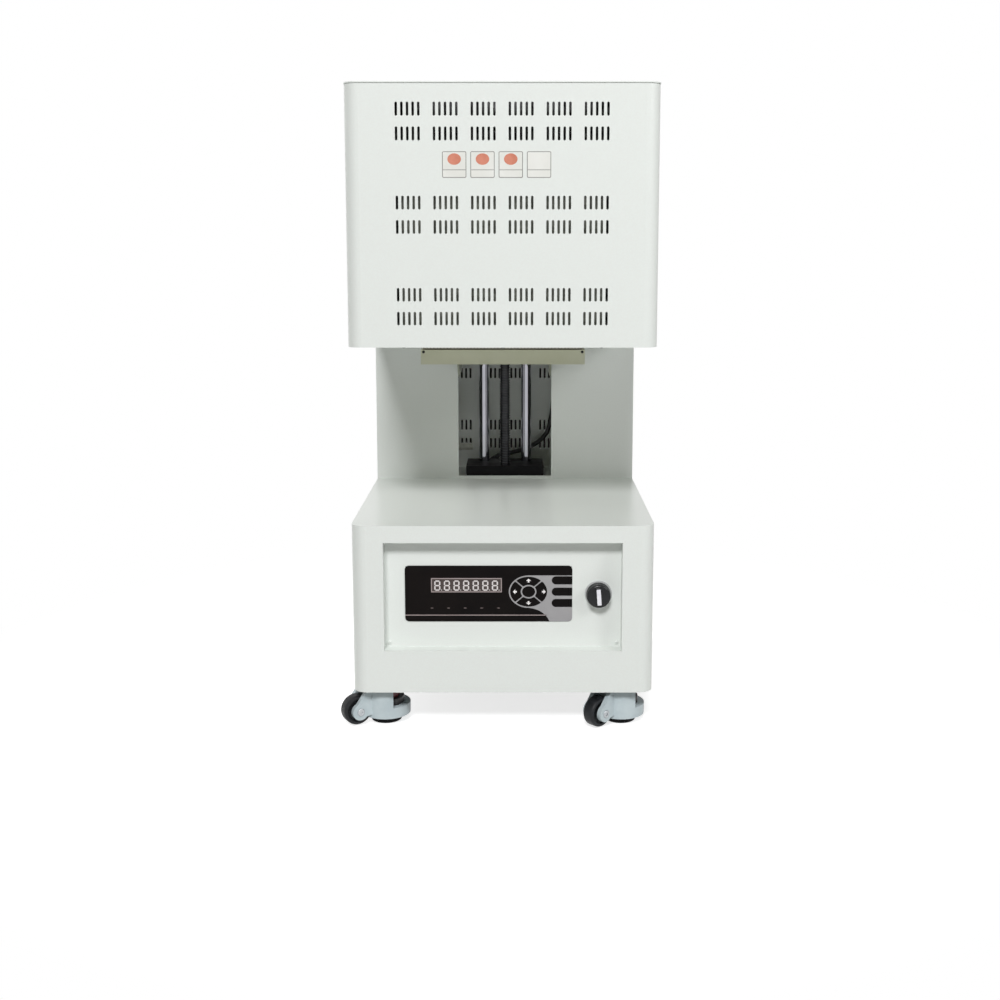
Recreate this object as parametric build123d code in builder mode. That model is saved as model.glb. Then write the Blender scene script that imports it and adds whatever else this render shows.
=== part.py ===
from build123d import *
import os
from math import cos, radians, sin

os.makedirs("parts", exist_ok=True)

# Elevator muffle furnace, millimetres, X to the right, Y to the back, Z up.
# The origin is on the floor under the middle of the machine.

# Driving sizes of the housing
overall_width = 500.0
overall_depth = 560.0
base_bottom_z = 66.0
base_height = 283.5
bay_height = 292.5
upper_height = 416.5
column_depth = 136.0
corner_radius = 24.0
sheet = 1.5
clearance = 0.3
lid_thickness = 2.0
lid_overhang = 0.8
shadow_gap = 1.0
lip_height = 12.0

# Punched ventilation slots
slot_width = 4.0
slot_length = 21.5
slot_pitch = 8.8
slots_in_group = 5
group_pitch = 59.5
groups_in_row = 6
row_pitch = 38.0
pair_pitch = 145.0
middle_pair_rise = 210.5

# Control recess, controller and switch
recess_width = 394.0
recess_height = 183.6
recess_depth = 25.0
recess_middle_z = 229.2
recess_flange = 12.0
overlay_width = 279.0
overlay_height = 95.4
overlay_middle_x = -24.0
overlay_middle_z = 229.0
overlay_thickness = 1.2
overlay_radius = 7.0
controller_margin = 1.5
controller_depth = 40.0
display_width = 118.3
display_height = 24.7
display_middle_x = -60.9
display_middle_z = 243.4
cluster_x = 42.7
cluster_z = 232.4
cluster_half_width = 33.0
cluster_half_height = 27.8
cluster_rim = 2.4
oval_half_width = 10.8
oval_half_height = 9.4
key_band = 2.6
side_key_left = 81.5
side_key_right = 111.5
side_key_height = 13.4
side_key_pitch = 19.4
side_key_top_z = 251.8
key_clearance = 0.25
key_proud = 0.4
key_thickness = 1.8
key_pocket_depth = 1.2
knob_x = 159.0
knob_z = 228.5
knob_radius = 20.3
knob_height = 16.0
knob_bar_width = 9.0
knob_bar_length = 32.0
knob_bar_height = 4.0
bezel_radius = 22.5
bezel_thickness = 3.0
switch_barrel_radius = 11.0
switch_block = 44.0
switch_block_depth = 45.0
knob_shaft_radius = 4.0
knob_shaft_length = 24.0
running_fit = 0.05

# Chamber, hearth and seal
chamber_size = 200.0
insulation_wall = 65.0
chamber_height = 223.0
roof_thickness = 60.0
tray_size = 271.0
tray_height = 24.0
tray_sheet = 2.0
tray_setback = 58.5
tray_drop = 8.5
seal_width = 22.0
seal_gap = 0.3
throat_margin = 12.0
hearth_gap = 3.0
hearth_neck_gap = 4.0
hearth_plug_rise = 22.0
hearth_plate_size = 190.0
hearth_plate_thickness = 6.0
leg_radius = 6.0
hot_radius = 3.0
leg_spacing = 34.0
element_pitch = 60.0
element_wall_gap = 14.0
element_hot_length = 150.0
element_cold_top = 40.0
clamp_size = 18.0
clamp_height = 16.0
strap_thickness = 3.0
probe_radius = 3.5
probe_depth = 45.0
probe_head_radius = 14.0
probe_head_height = 34.0

# Lift
elevator_travel = 200.0
slot_half_width = 90.5
slot_bottom_rise = 5.5
rod_radius = 10.0
rod_half_pitch = 42.0
rod_setback = 68.0
screw_radius = 10.0
screw_setback = 21.0
screw_foot_radius = 8.0
screw_head_radius = 7.0
block_half_width = 76.0
block_setback = 4.0
block_depth = 90.0
block_height = 24.0
upper_block_rise = 110.0
arm_half_gap = 85.0
arm_sheet = 3.0
arm_floor_gap = 3.0
carriage_plate = 6.0
carriage_bottom_drop = 5.5
carriage_height = 120.0
bearing_width = 54.0
bearing_depth = 41.0
bearing_length = 50.0
bearing_seat = 21.0
bearing_pitch = 60.0
nut_flange = 44.0
nut_radius = 17.0
nut_length = 40.0
nut_flange_thickness = 12.0
sensor_radius = 7.0
sensor_setback = 102.0
sensor_tip_x = -66.0
sensor_length = 54.0
sensor_drop = 2.0
flag_height = 60.0
flag_below_sensor = 7.0
flag_above_sensor = 10.0

# Inner frame of square tube
tube = 20.0
tube_wall = 2.0
tube_side_gap = 3.5
front_post_setback = 25.0

# Levelling casters
caster_side_inset = 50.0
caster_end_inset = 57.0
caster_height = 84.0
caster_plate = 72.0
caster_plate_thickness = 4.0
race_outer_radius = 21.0
race_inner_radius = 15.05
race_height = 8.0
drum_radius = 41.0
window_reach = 6.0
drum_bottom = 13.0
wheel_radius = 25.0
wheel_width = 22.0
wheel_lift = 2.0
wheel_trail = 56.0
fork_gap = 1.0
fork_thickness = 8.0
fork_end_radius = 14.0
fork_shoulder = 38.0
axle_radius = 4.0
pad_radius = 26.0
pad_height = 11.0
foot_travel = 8.0
stem_radius = 6.0
dial_radius = 30.0
dial_collar_radius = 22.0
dial_bottom = 31.0
dial_top = 61.0
caster_headings = {"fl": 210.0, "fr": 223.0, "rl": 20.0, "rr": 30.0}
caster_corners = {"fl": (-1, -1), "fr": (1, -1), "rl": (-1, 1), "rr": (1, 1)}

# Power unit, cables, gland and screws
power_gap = 124.0
main_cable_radius = 4.5
lead_radius = 2.0
cable_setback = 104.0
gland_inset = 80.0
gland_z = 132.0
gland_hex = 28.0
gland_thread_radius = 10.0
gland_bore_radius = 5.0
gland_head = 12.0
gland_nut = 6.0
screw_head = 3.8
screw_head_height = 2.2
screw_shank = 2.0
screw_length = 8.0

# Levels and planes that follow from the sizes above
half_width = overall_width / 2
front_y = -overall_depth / 2
rear_y = overall_depth / 2
inner_rear_y = rear_y - sheet
column_front_y = rear_y - column_depth
rod_y = column_front_y + rod_setback
screw_y = column_front_y + screw_setback
block_front_y = column_front_y + block_setback
block_back_y = block_front_y + block_depth
sensor_y = column_front_y + sensor_setback
cable_y = column_front_y + cable_setback
power_y = column_front_y - power_gap
caster_x = half_width - caster_side_inset
caster_y = rear_y - caster_end_inset
gland_x = gland_inset - half_width
deck_z = base_bottom_z + base_height
upper_z = deck_z + bay_height
top_z = upper_z + upper_height
casing_top_z = top_z - lid_thickness - shadow_gap
frame_top_z = top_z - lid_thickness
floor_top_z = caster_height + lid_thickness
panel_face_y = front_y + recess_depth
overlay_face_y = panel_face_y - overlay_thickness
chamber_y = front_y + tray_setback + tray_size / 2
throat_size = chamber_size + 2 * throat_margin
insulation_size = chamber_size + 2 * insulation_wall
insulation_bottom_z = upper_z + 2 * sheet
chamber_roof_z = insulation_bottom_z + chamber_height
insulation_top_z = chamber_roof_z + roof_thickness
jacket_top_z = insulation_top_z + clearance + sheet
tray_top_z = upper_z - tray_drop
tray_bottom_z = tray_top_z - tray_height
hearth_top_z = insulation_bottom_z - tray_sheet + hearth_plug_rise
slot_bottom_z = deck_z + slot_bottom_rise
arm_bottom_z = slot_bottom_z + elevator_travel + arm_floor_gap
carriage_bottom_z = tray_bottom_z - carriage_bottom_drop
carriage_top_z = carriage_bottom_z + carriage_height
carriage_back_y = rod_y - bearing_seat
carriage_front_y = carriage_back_y - carriage_plate
upper_sensor_z = upper_z - sensor_drop
flag_bottom_z = upper_sensor_z + flag_above_sensor - flag_height
lower_sensor_z = flag_bottom_z - elevator_travel + flag_below_sensor
upper_block_z = upper_z + upper_block_rise
upper_block_top_z = upper_block_z + block_height
frame_side = half_width - sheet - tube_side_gap - tube / 2
wheel_z = wheel_radius + wheel_lift
race_bottom_z = caster_height - caster_plate_thickness - race_height

pair_heights_front = [upper_z + middle_pair_rise + step * pair_pitch for step in (1, 0, -1)]
pair_heights_rear = [upper_z + middle_pair_rise + step * pair_pitch for step in (1, 0, -1, -2, -3, -4)]
rear_screws = [
    (side * frame_side, height)
    for side in (-1, 1)
    for height in (base_bottom_z + 90, deck_z - 10, upper_z - 120, upper_z + 120, casing_top_z - 20)
]
throat_screws = [(x, front_y + 19) for x in (-160, 0, 160)]
recess_screws = [
    (side * (recess_width / 2 - 7), recess_middle_z - recess_height / 2 + 7) for side in (-1, 1)
]
caster_centres = [(x * caster_x, y * caster_y) for x, y in caster_corners.values()]
caster_bolts = [
    (x + step_x * (caster_plate / 2 - 8), y + step_y * (caster_plate / 2 - 8))
    for x, y in caster_centres
    for step_x in (-1, 1)
    for step_y in (-1, 1)
]


def facing(depth):
    """A plane that looks at the front of the machine, with its origin at this Y."""
    return Plane.XZ.offset(-depth)


def rounded_front(inset, back, mode=Mode.ADD):
    """The plan of the housing, shrunk by inset, with its two front corners rounded."""
    half = half_width - inset
    with BuildLine() as outline:
        FilletPolyline(
            (half, back),
            (half, front_y + inset),
            (-half, front_y + inset),
            (-half, back),
            radius=corner_radius - inset,
        )
        Line((-half, back), (half, back))
    make_face(outline.edges(), mode=mode)


def vent_slots(pair_heights):
    """Rows of punched slots in groups, two rows at each of these heights."""
    with Locations(*[(0, height) for height in pair_heights]):
        with GridLocations(group_pitch, row_pitch, groups_in_row, 2):
            with GridLocations(slot_pitch, slot_pitch, slots_in_group, 1):
                SlotOverall(slot_length, slot_width, rotation=90)


def key_quarter(direction, grow):
    """One arrow key of the oval cluster, grown all round by grow."""
    Ellipse(cluster_half_width - cluster_rim + grow, cluster_half_height - cluster_rim + grow)
    Ellipse(oval_half_width + key_band - grow, oval_half_height + key_band - grow, mode=Mode.SUBTRACT)
    reach = 2 * cluster_half_width
    slope = cluster_half_height / cluster_half_width
    with BuildLine() as wedge:
        start = (key_band / 2 - grow) / min(slope, 1)
        if direction in ("right", "left"):
            sign = 1 if direction == "right" else -1
            Polyline(
                (sign * start, 0), (sign * (start + reach), reach * slope),
                (sign * (start + reach), -reach * slope), (sign * start, 0),
            )
        else:
            sign = 1 if direction == "up" else -1
            Polyline(
                (0, sign * start), (reach, sign * (start + reach * slope)),
                (-reach, sign * (start + reach * slope)), (0, sign * start),
            )
    make_face(wedge.edges(), mode=Mode.INTERSECT)


def side_key(grow):
    """A key with a rounded left end, grown all round by grow."""
    length = side_key_right - side_key_left
    radius = side_key_height / 2
    with Locations((radius / 2, 0)):
        Rectangle(length - radius + 2 * grow, side_key_height + 2 * grow)
    with Locations((radius - length / 2, 0)):
        Circle(radius + grow)


key_places = {
    "key_up": (cluster_x, cluster_z),
    "key_down": (cluster_x, cluster_z),
    "key_left": (cluster_x, cluster_z),
    "key_right": (cluster_x, cluster_z),
    "key_top": ((side_key_left + side_key_right) / 2, side_key_top_z),
    "key_middle": ((side_key_left + side_key_right) / 2, side_key_top_z - side_key_pitch),
    "key_bottom": ((side_key_left + side_key_right) / 2, side_key_top_z - 2 * side_key_pitch),
}


def key_outline(name, grow, mode=Mode.ADD):
    """The outline of a named key, placed on the panel."""
    with BuildSketch(mode=Mode.PRIVATE) as outline:
        direction = name.removeprefix("key_")
        if direction in ("up", "down", "left", "right"):
            key_quarter(direction, grow)
        else:
            side_key(grow)
    with Locations(key_places[name]):
        add(outline.sketch, mode=mode)


def sheet_screw_holes(points, plane, depth):
    """Holes for the screw shanks, drilled from the plane into the part being built."""
    with BuildSketch(plane) as holes:
        with Locations(*points):
            Circle(screw_shank)
    extrude(holes.sketch, amount=-depth, mode=Mode.SUBTRACT)


def tangent_radii(points):
    """Bend radii of a cable: each takes 0.45 of the shorter straight run next to it."""
    radii = []
    for before, corner, after in zip(points, points[1:], points[2:]):
        run_in = Vector(*corner) - Vector(*before)
        run_out = Vector(*after) - Vector(*corner)
        half_turn = radians(run_in.get_angle(run_out) / 2)
        radii.append(0.45 * min(run_in.length, run_out.length) * cos(half_turn) / sin(half_turn))
    return radii


# Front and side walls of the base, one sheet bent round both front corners
with BuildPart() as base_casing:
    with BuildSketch(Plane.XY.offset(base_bottom_z)):
        rounded_front(0, rear_y)
        rounded_front(sheet, rear_y + sheet, mode=Mode.SUBTRACT)
    extrude(amount=base_height - sheet)
    with BuildSketch(facing(front_y - sheet)):
        with Locations((0, recess_middle_z)):
            Rectangle(recess_width, recess_height)
    extrude(amount=-3 * sheet, mode=Mode.SUBTRACT)

base_casing.part.label = "base_casing"
export_step(base_casing.part, "parts/base_casing.step")

# Deck over the base, with a folded lip inside the walls and notches for the frame posts
with BuildPart() as base_deck:
    with BuildSketch(Plane.XY.offset(deck_z - sheet)):
        rounded_front(0, inner_rear_y)
        with Locations(*[(x * frame_side, y) for x in (-1, 1) for y in (
            column_front_y + tube_side_gap + tube / 2, inner_rear_y - tube / 2)]):
            Rectangle(tube + 2 * clearance, tube + 2 * clearance, mode=Mode.SUBTRACT)
        with Locations((0, screw_y)):
            Circle(screw_foot_radius + 4, mode=Mode.SUBTRACT)
        with Locations((-52, cable_y), (-160, cable_y)):
            Circle(main_cable_radius + 2.5, mode=Mode.SUBTRACT)
    extrude(amount=sheet)
    with BuildSketch(Plane.XY.offset(deck_z - sheet)):
        rounded_front(sheet + clearance, inner_rear_y)
        rounded_front(2 * sheet + clearance, inner_rear_y + sheet, mode=Mode.SUBTRACT)
    extrude(amount=-lip_height)

base_deck.part.label = "base_deck"
export_step(base_deck.part, "parts/base_deck.step")

# Floor pan of the base, set up inside the skirt so that the casters start under cover
with BuildPart() as base_floor:
    with BuildSketch(Plane.XY.offset(caster_height)):
        rounded_front(sheet + clearance, inner_rear_y)
    extrude(amount=lid_thickness)
    with BuildSketch(Plane.XY.offset(floor_top_z)):
        rounded_front(sheet + clearance, inner_rear_y)
        rounded_front(2 * sheet + clearance, inner_rear_y + sheet, mode=Mode.SUBTRACT)
    extrude(amount=lip_height)
    sheet_screw_holes(caster_bolts, Plane.XY.offset(floor_top_z + 1), lid_thickness + 2)

base_floor.part.label = "base_floor"
export_step(base_floor.part, "parts/base_floor.step")

# Column walls: two sides and a slotted front, bent with sharp corners
with BuildPart() as column_casing:
    with BuildSketch(Plane.XY.offset(deck_z)):
        with Locations((0, (column_front_y + rear_y) / 2)):
            Rectangle(overall_width, column_depth)
        with Locations((0, (column_front_y + rear_y) / 2 + sheet)):
            Rectangle(overall_width - 2 * sheet, column_depth, mode=Mode.SUBTRACT)
    extrude(amount=bay_height)
    with BuildSketch(facing(column_front_y - sheet)):
        with Locations((0, slot_bottom_z + bay_height / 2)):
            Rectangle(2 * slot_half_width, bay_height)
    extrude(amount=-3 * sheet, mode=Mode.SUBTRACT)

column_casing.part.label = "column_casing"
export_step(column_casing.part, "parts/column_casing.step")

# Front and side walls of the upper housing, with the punched vent slots
with BuildPart() as upper_casing:
    with BuildSketch(Plane.XY.offset(upper_z)):
        rounded_front(0, rear_y)
        rounded_front(sheet, rear_y + sheet, mode=Mode.SUBTRACT)
    extrude(amount=casing_top_z - upper_z)
    with BuildSketch(facing(front_y - sheet)):
        vent_slots(pair_heights_front)
    extrude(amount=-3 * sheet, mode=Mode.SUBTRACT)

upper_casing.part.label = "upper_casing"
export_step(upper_casing.part, "parts/upper_casing.step")

# Lid of the upper housing, a little wider than the walls, over a shadow gap
with BuildPart() as top_cover:
    with BuildSketch(Plane.XY.offset(frame_top_z)):
        rounded_front(-lid_overhang, rear_y + lid_overhang)
    extrude(amount=lid_thickness)
    with BuildSketch(Plane.XY.offset(frame_top_z)):
        rounded_front(sheet + clearance, inner_rear_y - tube)
        rounded_front(2 * sheet + clearance, rear_y, mode=Mode.SUBTRACT)
    extrude(amount=-lip_height)

top_cover.part.label = "top_cover"
export_step(top_cover.part, "parts/top_cover.step")

# Sheet under the upper housing, with the square throat of the chamber
with BuildPart() as upper_bottom_plate:
    with BuildSketch(Plane.XY.offset(upper_z)):
        rounded_front(sheet + clearance, column_front_y + sheet)
        with Locations((0, chamber_y)):
            Rectangle(throat_size, throat_size, mode=Mode.SUBTRACT)
    extrude(amount=sheet)
    sheet_screw_holes(throat_screws, Plane.XY.offset(upper_z + 2 * sheet), 3 * sheet)

upper_bottom_plate.part.label = "upper_bottom_plate"
export_step(upper_bottom_plate.part, "parts/upper_bottom_plate.step")

# Back panel over the full height, punched like the front
with BuildPart() as rear_cover:
    with BuildSketch(facing(rear_y)):
        with Locations((0, (base_bottom_z + casing_top_z) / 2)):
            Rectangle(overall_width - 2 * (sheet + clearance), casing_top_z - base_bottom_z)
        with Locations((gland_x, gland_z)):
            Circle(gland_thread_radius, mode=Mode.SUBTRACT)
    extrude(amount=sheet)
    with BuildSketch(facing(rear_y + sheet)):
        vent_slots(pair_heights_rear)
    extrude(amount=3 * sheet, mode=Mode.SUBTRACT)
    sheet_screw_holes(rear_screws, facing(inner_rear_y - sheet), 3 * sheet)

rear_cover.part.label = "rear_cover"
export_step(rear_cover.part, "parts/rear_cover.step")

# Welded inner frame of square tube: six posts and the rails between them
front_post_y = front_y + front_post_setback + tube / 2
column_post_y = column_front_y + tube_side_gap + tube / 2
rear_post_y = inner_rear_y - tube / 2
frame_posts = [
    (front_post_y, floor_top_z, deck_z - sheet),
    (front_post_y, upper_z + sheet, frame_top_z),
    (column_post_y, floor_top_z, frame_top_z),
    (rear_post_y, floor_top_z, frame_top_z),
]
side_rail_tops = [floor_top_z + tube, deck_z - sheet, upper_z + sheet + tube, frame_top_z]
cross_rails = [
    (front_post_y, deck_z - sheet),
    (front_post_y, frame_top_z),
    (rear_post_y, floor_top_z + tube),
    (rear_post_y, deck_z - sheet),
    (rear_post_y, upper_block_top_z),
    (rear_post_y, frame_top_z),
]


def frame_bars(thinner, mode):
    """All bars of the frame, each thinner all round by this much."""
    for side in (-1, 1):
        for post_y, bottom, top in frame_posts:
            with Locations((side * frame_side, post_y, (bottom + top) / 2)):
                Box(tube - 2 * thinner, tube - 2 * thinner, top - bottom - 2 * thinner, mode=mode)
        for rail_top in side_rail_tops:
            for near, far in ((front_post_y, column_post_y), (column_post_y, rear_post_y)):
                with Locations((side * frame_side, (near + far) / 2, rail_top - tube / 2)):
                    Box(tube - 2 * thinner, far - near - tube - 2 * thinner, tube - 2 * thinner, mode=mode)
    for rail_y, rail_top in cross_rails:
        with Locations((0, rail_y, rail_top - tube / 2)):
            Box(2 * frame_side - tube - 2 * thinner, tube - 2 * thinner, tube - 2 * thinner, mode=mode)


with BuildPart() as inner_frame:
    frame_bars(0, Mode.ADD)
    frame_bars(tube_wall, Mode.SUBTRACT)
    sheet_screw_holes(rear_screws, facing(inner_rear_y - tube_wall - 1), 2 * tube_wall)
    sheet_screw_holes(caster_bolts, Plane.XY.offset(floor_top_z + tube_wall), tube_wall + 1)

inner_frame.part.label = "inner_frame"
export_step(inner_frame.part, "parts/inner_frame.step")

# Recessed control panel: a shallow tray flanged behind the opening of the base
with BuildPart() as control_panel:
    with BuildSketch(facing(front_y + sheet)):
        with Locations((0, recess_middle_z)):
            Rectangle(recess_width + 2 * recess_flange, recess_height + 2 * recess_flange)
    extrude(amount=-sheet)
    with BuildSketch(facing(front_y + sheet)):
        with Locations((0, recess_middle_z)):
            Rectangle(recess_width + 2 * sheet, recess_height + 2 * sheet)
    extrude(amount=-recess_depth)
    with BuildSketch(facing(front_y)):
        with Locations((0, recess_middle_z)):
            Rectangle(recess_width, recess_height)
    extrude(amount=-recess_depth, mode=Mode.SUBTRACT)
    with BuildSketch(facing(panel_face_y - sheet)):
        with Locations((overlay_middle_x, overlay_middle_z)):
            Rectangle(
                overlay_width - 2 * controller_margin + 2 * clearance,
                overlay_height - 2 * controller_margin + 2 * clearance,
            )
        with Locations((knob_x, knob_z)):
            Circle(switch_barrel_radius + clearance)
    extrude(amount=-3 * sheet, mode=Mode.SUBTRACT)
    sheet_screw_holes(recess_screws, facing(panel_face_y - sheet), 3 * sheet)

control_panel.part.label = "control_panel"
export_step(control_panel.part, "parts/control_panel.step")

# Printed overlay of the controller, with openings for the display and the keys
with BuildPart() as keypad_overlay:
    with BuildSketch(facing(panel_face_y)):
        with Locations((overlay_middle_x, overlay_middle_z)):
            RectangleRounded(overlay_width, overlay_height, overlay_radius)
        with Locations((display_middle_x, display_middle_z)):
            Rectangle(display_width + 2 * clearance, display_height + 2 * clearance, mode=Mode.SUBTRACT)
        for key_name in key_places:
            key_outline(key_name, key_clearance, mode=Mode.SUBTRACT)
    extrude(amount=overlay_thickness)

keypad_overlay.part.label = "keypad_overlay"
export_step(keypad_overlay.part, "parts/keypad_overlay.step")

# Window of the seven-digit display
with BuildPart() as display_window:
    with BuildSketch(facing(panel_face_y)):
        with Locations((display_middle_x, display_middle_z)):
            Rectangle(display_width, display_height)
    extrude(amount=overlay_thickness - clearance)

display_window.part.label = "display_window"
export_step(display_window.part, "parts/display_window.step")

# Controller behind the overlay, with a shallow pocket under every key
with BuildPart() as controller_body:
    with BuildSketch(facing(panel_face_y)):
        with Locations((overlay_middle_x, overlay_middle_z)):
            Rectangle(overlay_width - 2 * controller_margin, overlay_height - 2 * controller_margin)
    extrude(amount=-controller_depth)
    with BuildSketch(facing(panel_face_y)):
        for key_name in key_places:
            key_outline(key_name, key_clearance)
    extrude(amount=-key_pocket_depth, mode=Mode.SUBTRACT)

controller_body.part.label = "controller_body"
export_step(controller_body.part, "parts/controller_body.step")

# Keys: four arrow keys in an oval and three side keys
key_parts = {}
for key_name in key_places:
    with BuildPart() as key_pad:
        with BuildSketch(facing(overlay_face_y - key_proud)):
            key_outline(key_name, 0)
        extrude(amount=-key_thickness)
    key_parts[key_name] = key_pad.part
    key_parts[key_name].label = key_name
    export_step(key_parts[key_name], f"parts/{key_name}.step")

# Rotary power switch: bezel, threaded barrel and contact block in one
with BuildPart() as switch_body:
    with BuildSketch(facing(panel_face_y)):
        with Locations((knob_x, knob_z)):
            Circle(bezel_radius)
    extrude(amount=bezel_thickness)
    fillet(switch_body.faces().sort_by(Axis.Y)[0].edges(), radius=bezel_thickness / 3)
    with BuildSketch(facing(panel_face_y)):
        with Locations((knob_x, knob_z)):
            Circle(switch_barrel_radius)
    extrude(amount=-2 * sheet)
    with BuildSketch(facing(panel_face_y + 2 * sheet)):
        with Locations((knob_x, knob_z)):
            Rectangle(switch_block, switch_block)
    extrude(amount=-switch_block_depth)
    with BuildSketch(facing(panel_face_y - bezel_thickness)):
        with Locations((knob_x, knob_z)):
            Circle(knob_shaft_radius + running_fit)
    extrude(amount=-knob_shaft_length - 2, mode=Mode.SUBTRACT)

switch_body.part.label = "switch_body"
export_step(switch_body.part, "parts/switch_body.step")

# Knob of the power switch, a disc with a raised pointer bar, on its shaft
knob_back_y = panel_face_y - bezel_thickness - clearance
with BuildPart() as power_knob:
    with BuildSketch(facing(knob_back_y)):
        with Locations((knob_x, knob_z)):
            Circle(knob_radius)
    extrude(amount=knob_height)
    fillet(power_knob.faces().sort_by(Axis.Y)[0].edges(), radius=2)
    with BuildSketch(facing(knob_back_y - knob_height)):
        with Locations((knob_x, knob_z)):
            SlotOverall(knob_bar_length, knob_bar_width, rotation=90)
    extrude(amount=knob_bar_height)
    fillet(power_knob.faces().sort_by(Axis.Y)[0].edges(), radius=1)
    with BuildSketch(facing(knob_back_y)):
        with Locations((knob_x, knob_z)):
            Circle(knob_shaft_radius)
    extrude(amount=-knob_shaft_length)

power_knob.part.label = "power_knob"
export_step(power_knob.part, "parts/power_knob.step")

# Ceramic fibre lining of the chamber: four walls and a roof
element_legs = [
    (side * (chamber_size / 2 - element_wall_gap), chamber_y + step * element_pitch + half * leg_spacing / 2)
    for side in (-1, 1)
    for step in (-1, 0, 1)
    for half in (-1, 1)
]
with BuildPart() as chamber_insulation:
    with BuildSketch(Plane.XY.offset(insulation_bottom_z)):
        with Locations((0, chamber_y)):
            Rectangle(insulation_size, insulation_size)
    extrude(amount=insulation_top_z - insulation_bottom_z)
    with BuildSketch(Plane.XY.offset(insulation_bottom_z)):
        with Locations((0, chamber_y)):
            Rectangle(chamber_size, chamber_size)
    extrude(amount=chamber_height, mode=Mode.SUBTRACT)
    with BuildSketch(Plane.XY.offset(chamber_roof_z - 1)):
        with Locations(*element_legs):
            Circle(leg_radius + clearance)
        with Locations((0, chamber_y)):
            Circle(probe_radius + clearance)
    extrude(amount=roof_thickness + 2, mode=Mode.SUBTRACT)

chamber_insulation.part.label = "chamber_insulation"
export_step(chamber_insulation.part, "parts/chamber_insulation.step")

# Steel jacket round the lining, standing on the bottom sheet
jacket_inside = insulation_size + 2 * clearance
with BuildPart() as chamber_jacket:
    with BuildSketch(Plane.XY.offset(upper_z + sheet)):
        with Locations((0, chamber_y)):
            Rectangle(jacket_inside + 2 * sheet, jacket_inside + 2 * sheet)
    extrude(amount=jacket_top_z - upper_z - sheet)
    with BuildSketch(Plane.XY.offset(insulation_bottom_z)):
        with Locations((0, chamber_y)):
            Rectangle(jacket_inside, jacket_inside)
    extrude(amount=jacket_top_z - sheet - insulation_bottom_z, mode=Mode.SUBTRACT)
    with BuildSketch(Plane.XY.offset(upper_z)):
        with Locations((0, chamber_y)):
            Rectangle(throat_size, throat_size)
    extrude(amount=3 * sheet, mode=Mode.SUBTRACT)
    with BuildSketch(Plane.XY.offset(jacket_top_z - 2 * sheet)):
        with Locations(*element_legs):
            Circle(leg_radius + sheet)
        with Locations((0, chamber_y)):
            Circle(probe_radius + clearance)
    extrude(amount=3 * sheet, mode=Mode.SUBTRACT)

chamber_jacket.part.label = "chamber_jacket"
export_step(chamber_jacket.part, "parts/chamber_jacket.step")

# Heating elements: six hairpins hung from the roof, with clamps and straps on their ends
element_centres = [
    (side * (chamber_size / 2 - element_wall_gap), chamber_y + step * element_pitch)
    for side in (-1, 1)
    for step in (-1, 0, 1)
]
hairpin_bottom_z = chamber_roof_z - element_hot_length
cold_bottom_z = chamber_roof_z - leg_radius
cold_top_z = jacket_top_z + element_cold_top
clamp_top_z = cold_top_z + clamp_height
with BuildPart() as heater_elements:
    with BuildSketch(Plane.XY.offset(hairpin_bottom_z)):
        with Locations(*element_legs):
            Circle(hot_radius)
    extrude(amount=cold_bottom_z - hairpin_bottom_z)
    with BuildSketch(Plane.XY.offset(cold_bottom_z)):
        with Locations(*element_legs):
            Circle(leg_radius)
    extrude(amount=cold_top_z - cold_bottom_z)
    with Locations(*[(x, y, hairpin_bottom_z) for x, y in element_centres]):
        Torus(leg_spacing / 2, hot_radius, major_angle=180, rotation=(0, -90, 90))
with BuildPart() as element_clamps:
    with Locations(*[(x, y, cold_top_z + clamp_height / 2) for x, y in element_legs]):
        Box(clamp_size, clamp_size, clamp_height)
with BuildPart() as element_straps:
    with Locations(*[
        (side * (chamber_size / 2 - element_wall_gap), chamber_y + step * element_pitch,
         clamp_top_z + strap_thickness / 2)
        for side in (-1, 1) for step in (-0.5, 0.5)]):
        Box(clamp_size * 0.8, element_pitch - leg_spacing + clamp_size, strap_thickness)
heater_group = Compound(
    label="heater_elements",
    children=[*heater_elements.part.solids(), *element_clamps.part.solids(), *element_straps.part.solids()],
)
export_step(heater_group, "parts/heater_elements.step")

# Sheathed temperature probe through the roof, with its connection head
with BuildPart() as thermocouple:
    with BuildSketch(Plane.XY.offset(chamber_roof_z - probe_depth)):
        with Locations((0, chamber_y)):
            Circle(probe_radius)
    extrude(amount=jacket_top_z - chamber_roof_z + probe_depth)
    with BuildSketch(Plane.XY.offset(jacket_top_z)):
        with Locations((0, chamber_y)):
            Circle(probe_head_radius)
    extrude(amount=probe_head_height)
    fillet(thermocouple.faces().sort_by(Axis.Z)[-1].edges(), radius=4)

thermocouple.part.label = "thermocouple"
export_step(thermocouple.part, "parts/thermocouple.step")

# Square rope seal under the throat, pressed by the rim of the rising tray
seal_inside = throat_size
seal_outside = throat_size + 2 * seal_width
with BuildPart() as chamber_seal:
    with BuildSketch(Plane.XY.offset(tray_top_z + seal_gap)):
        with Locations((0, chamber_y)):
            RectangleRounded(seal_outside, seal_outside, seal_width / 2)
            Rectangle(seal_inside, seal_inside, mode=Mode.SUBTRACT)
    extrude(amount=tray_drop - seal_gap)

chamber_seal.part.label = "chamber_seal"
export_step(chamber_seal.part, "parts/chamber_seal.step")

# Carrier tray of the hearth, an open pan of folded sheet
with BuildPart() as carrier_tray:
    with BuildSketch(Plane.XY.offset(tray_bottom_z)):
        with Locations((0, chamber_y)):
            Rectangle(tray_size, tray_size)
    extrude(amount=tray_height)
    with BuildSketch(Plane.XY.offset(tray_bottom_z + tray_sheet)):
        with Locations((0, chamber_y)):
            Rectangle(tray_size - 2 * tray_sheet, tray_size - 2 * tray_sheet)
    extrude(amount=tray_height, mode=Mode.SUBTRACT)

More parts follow.
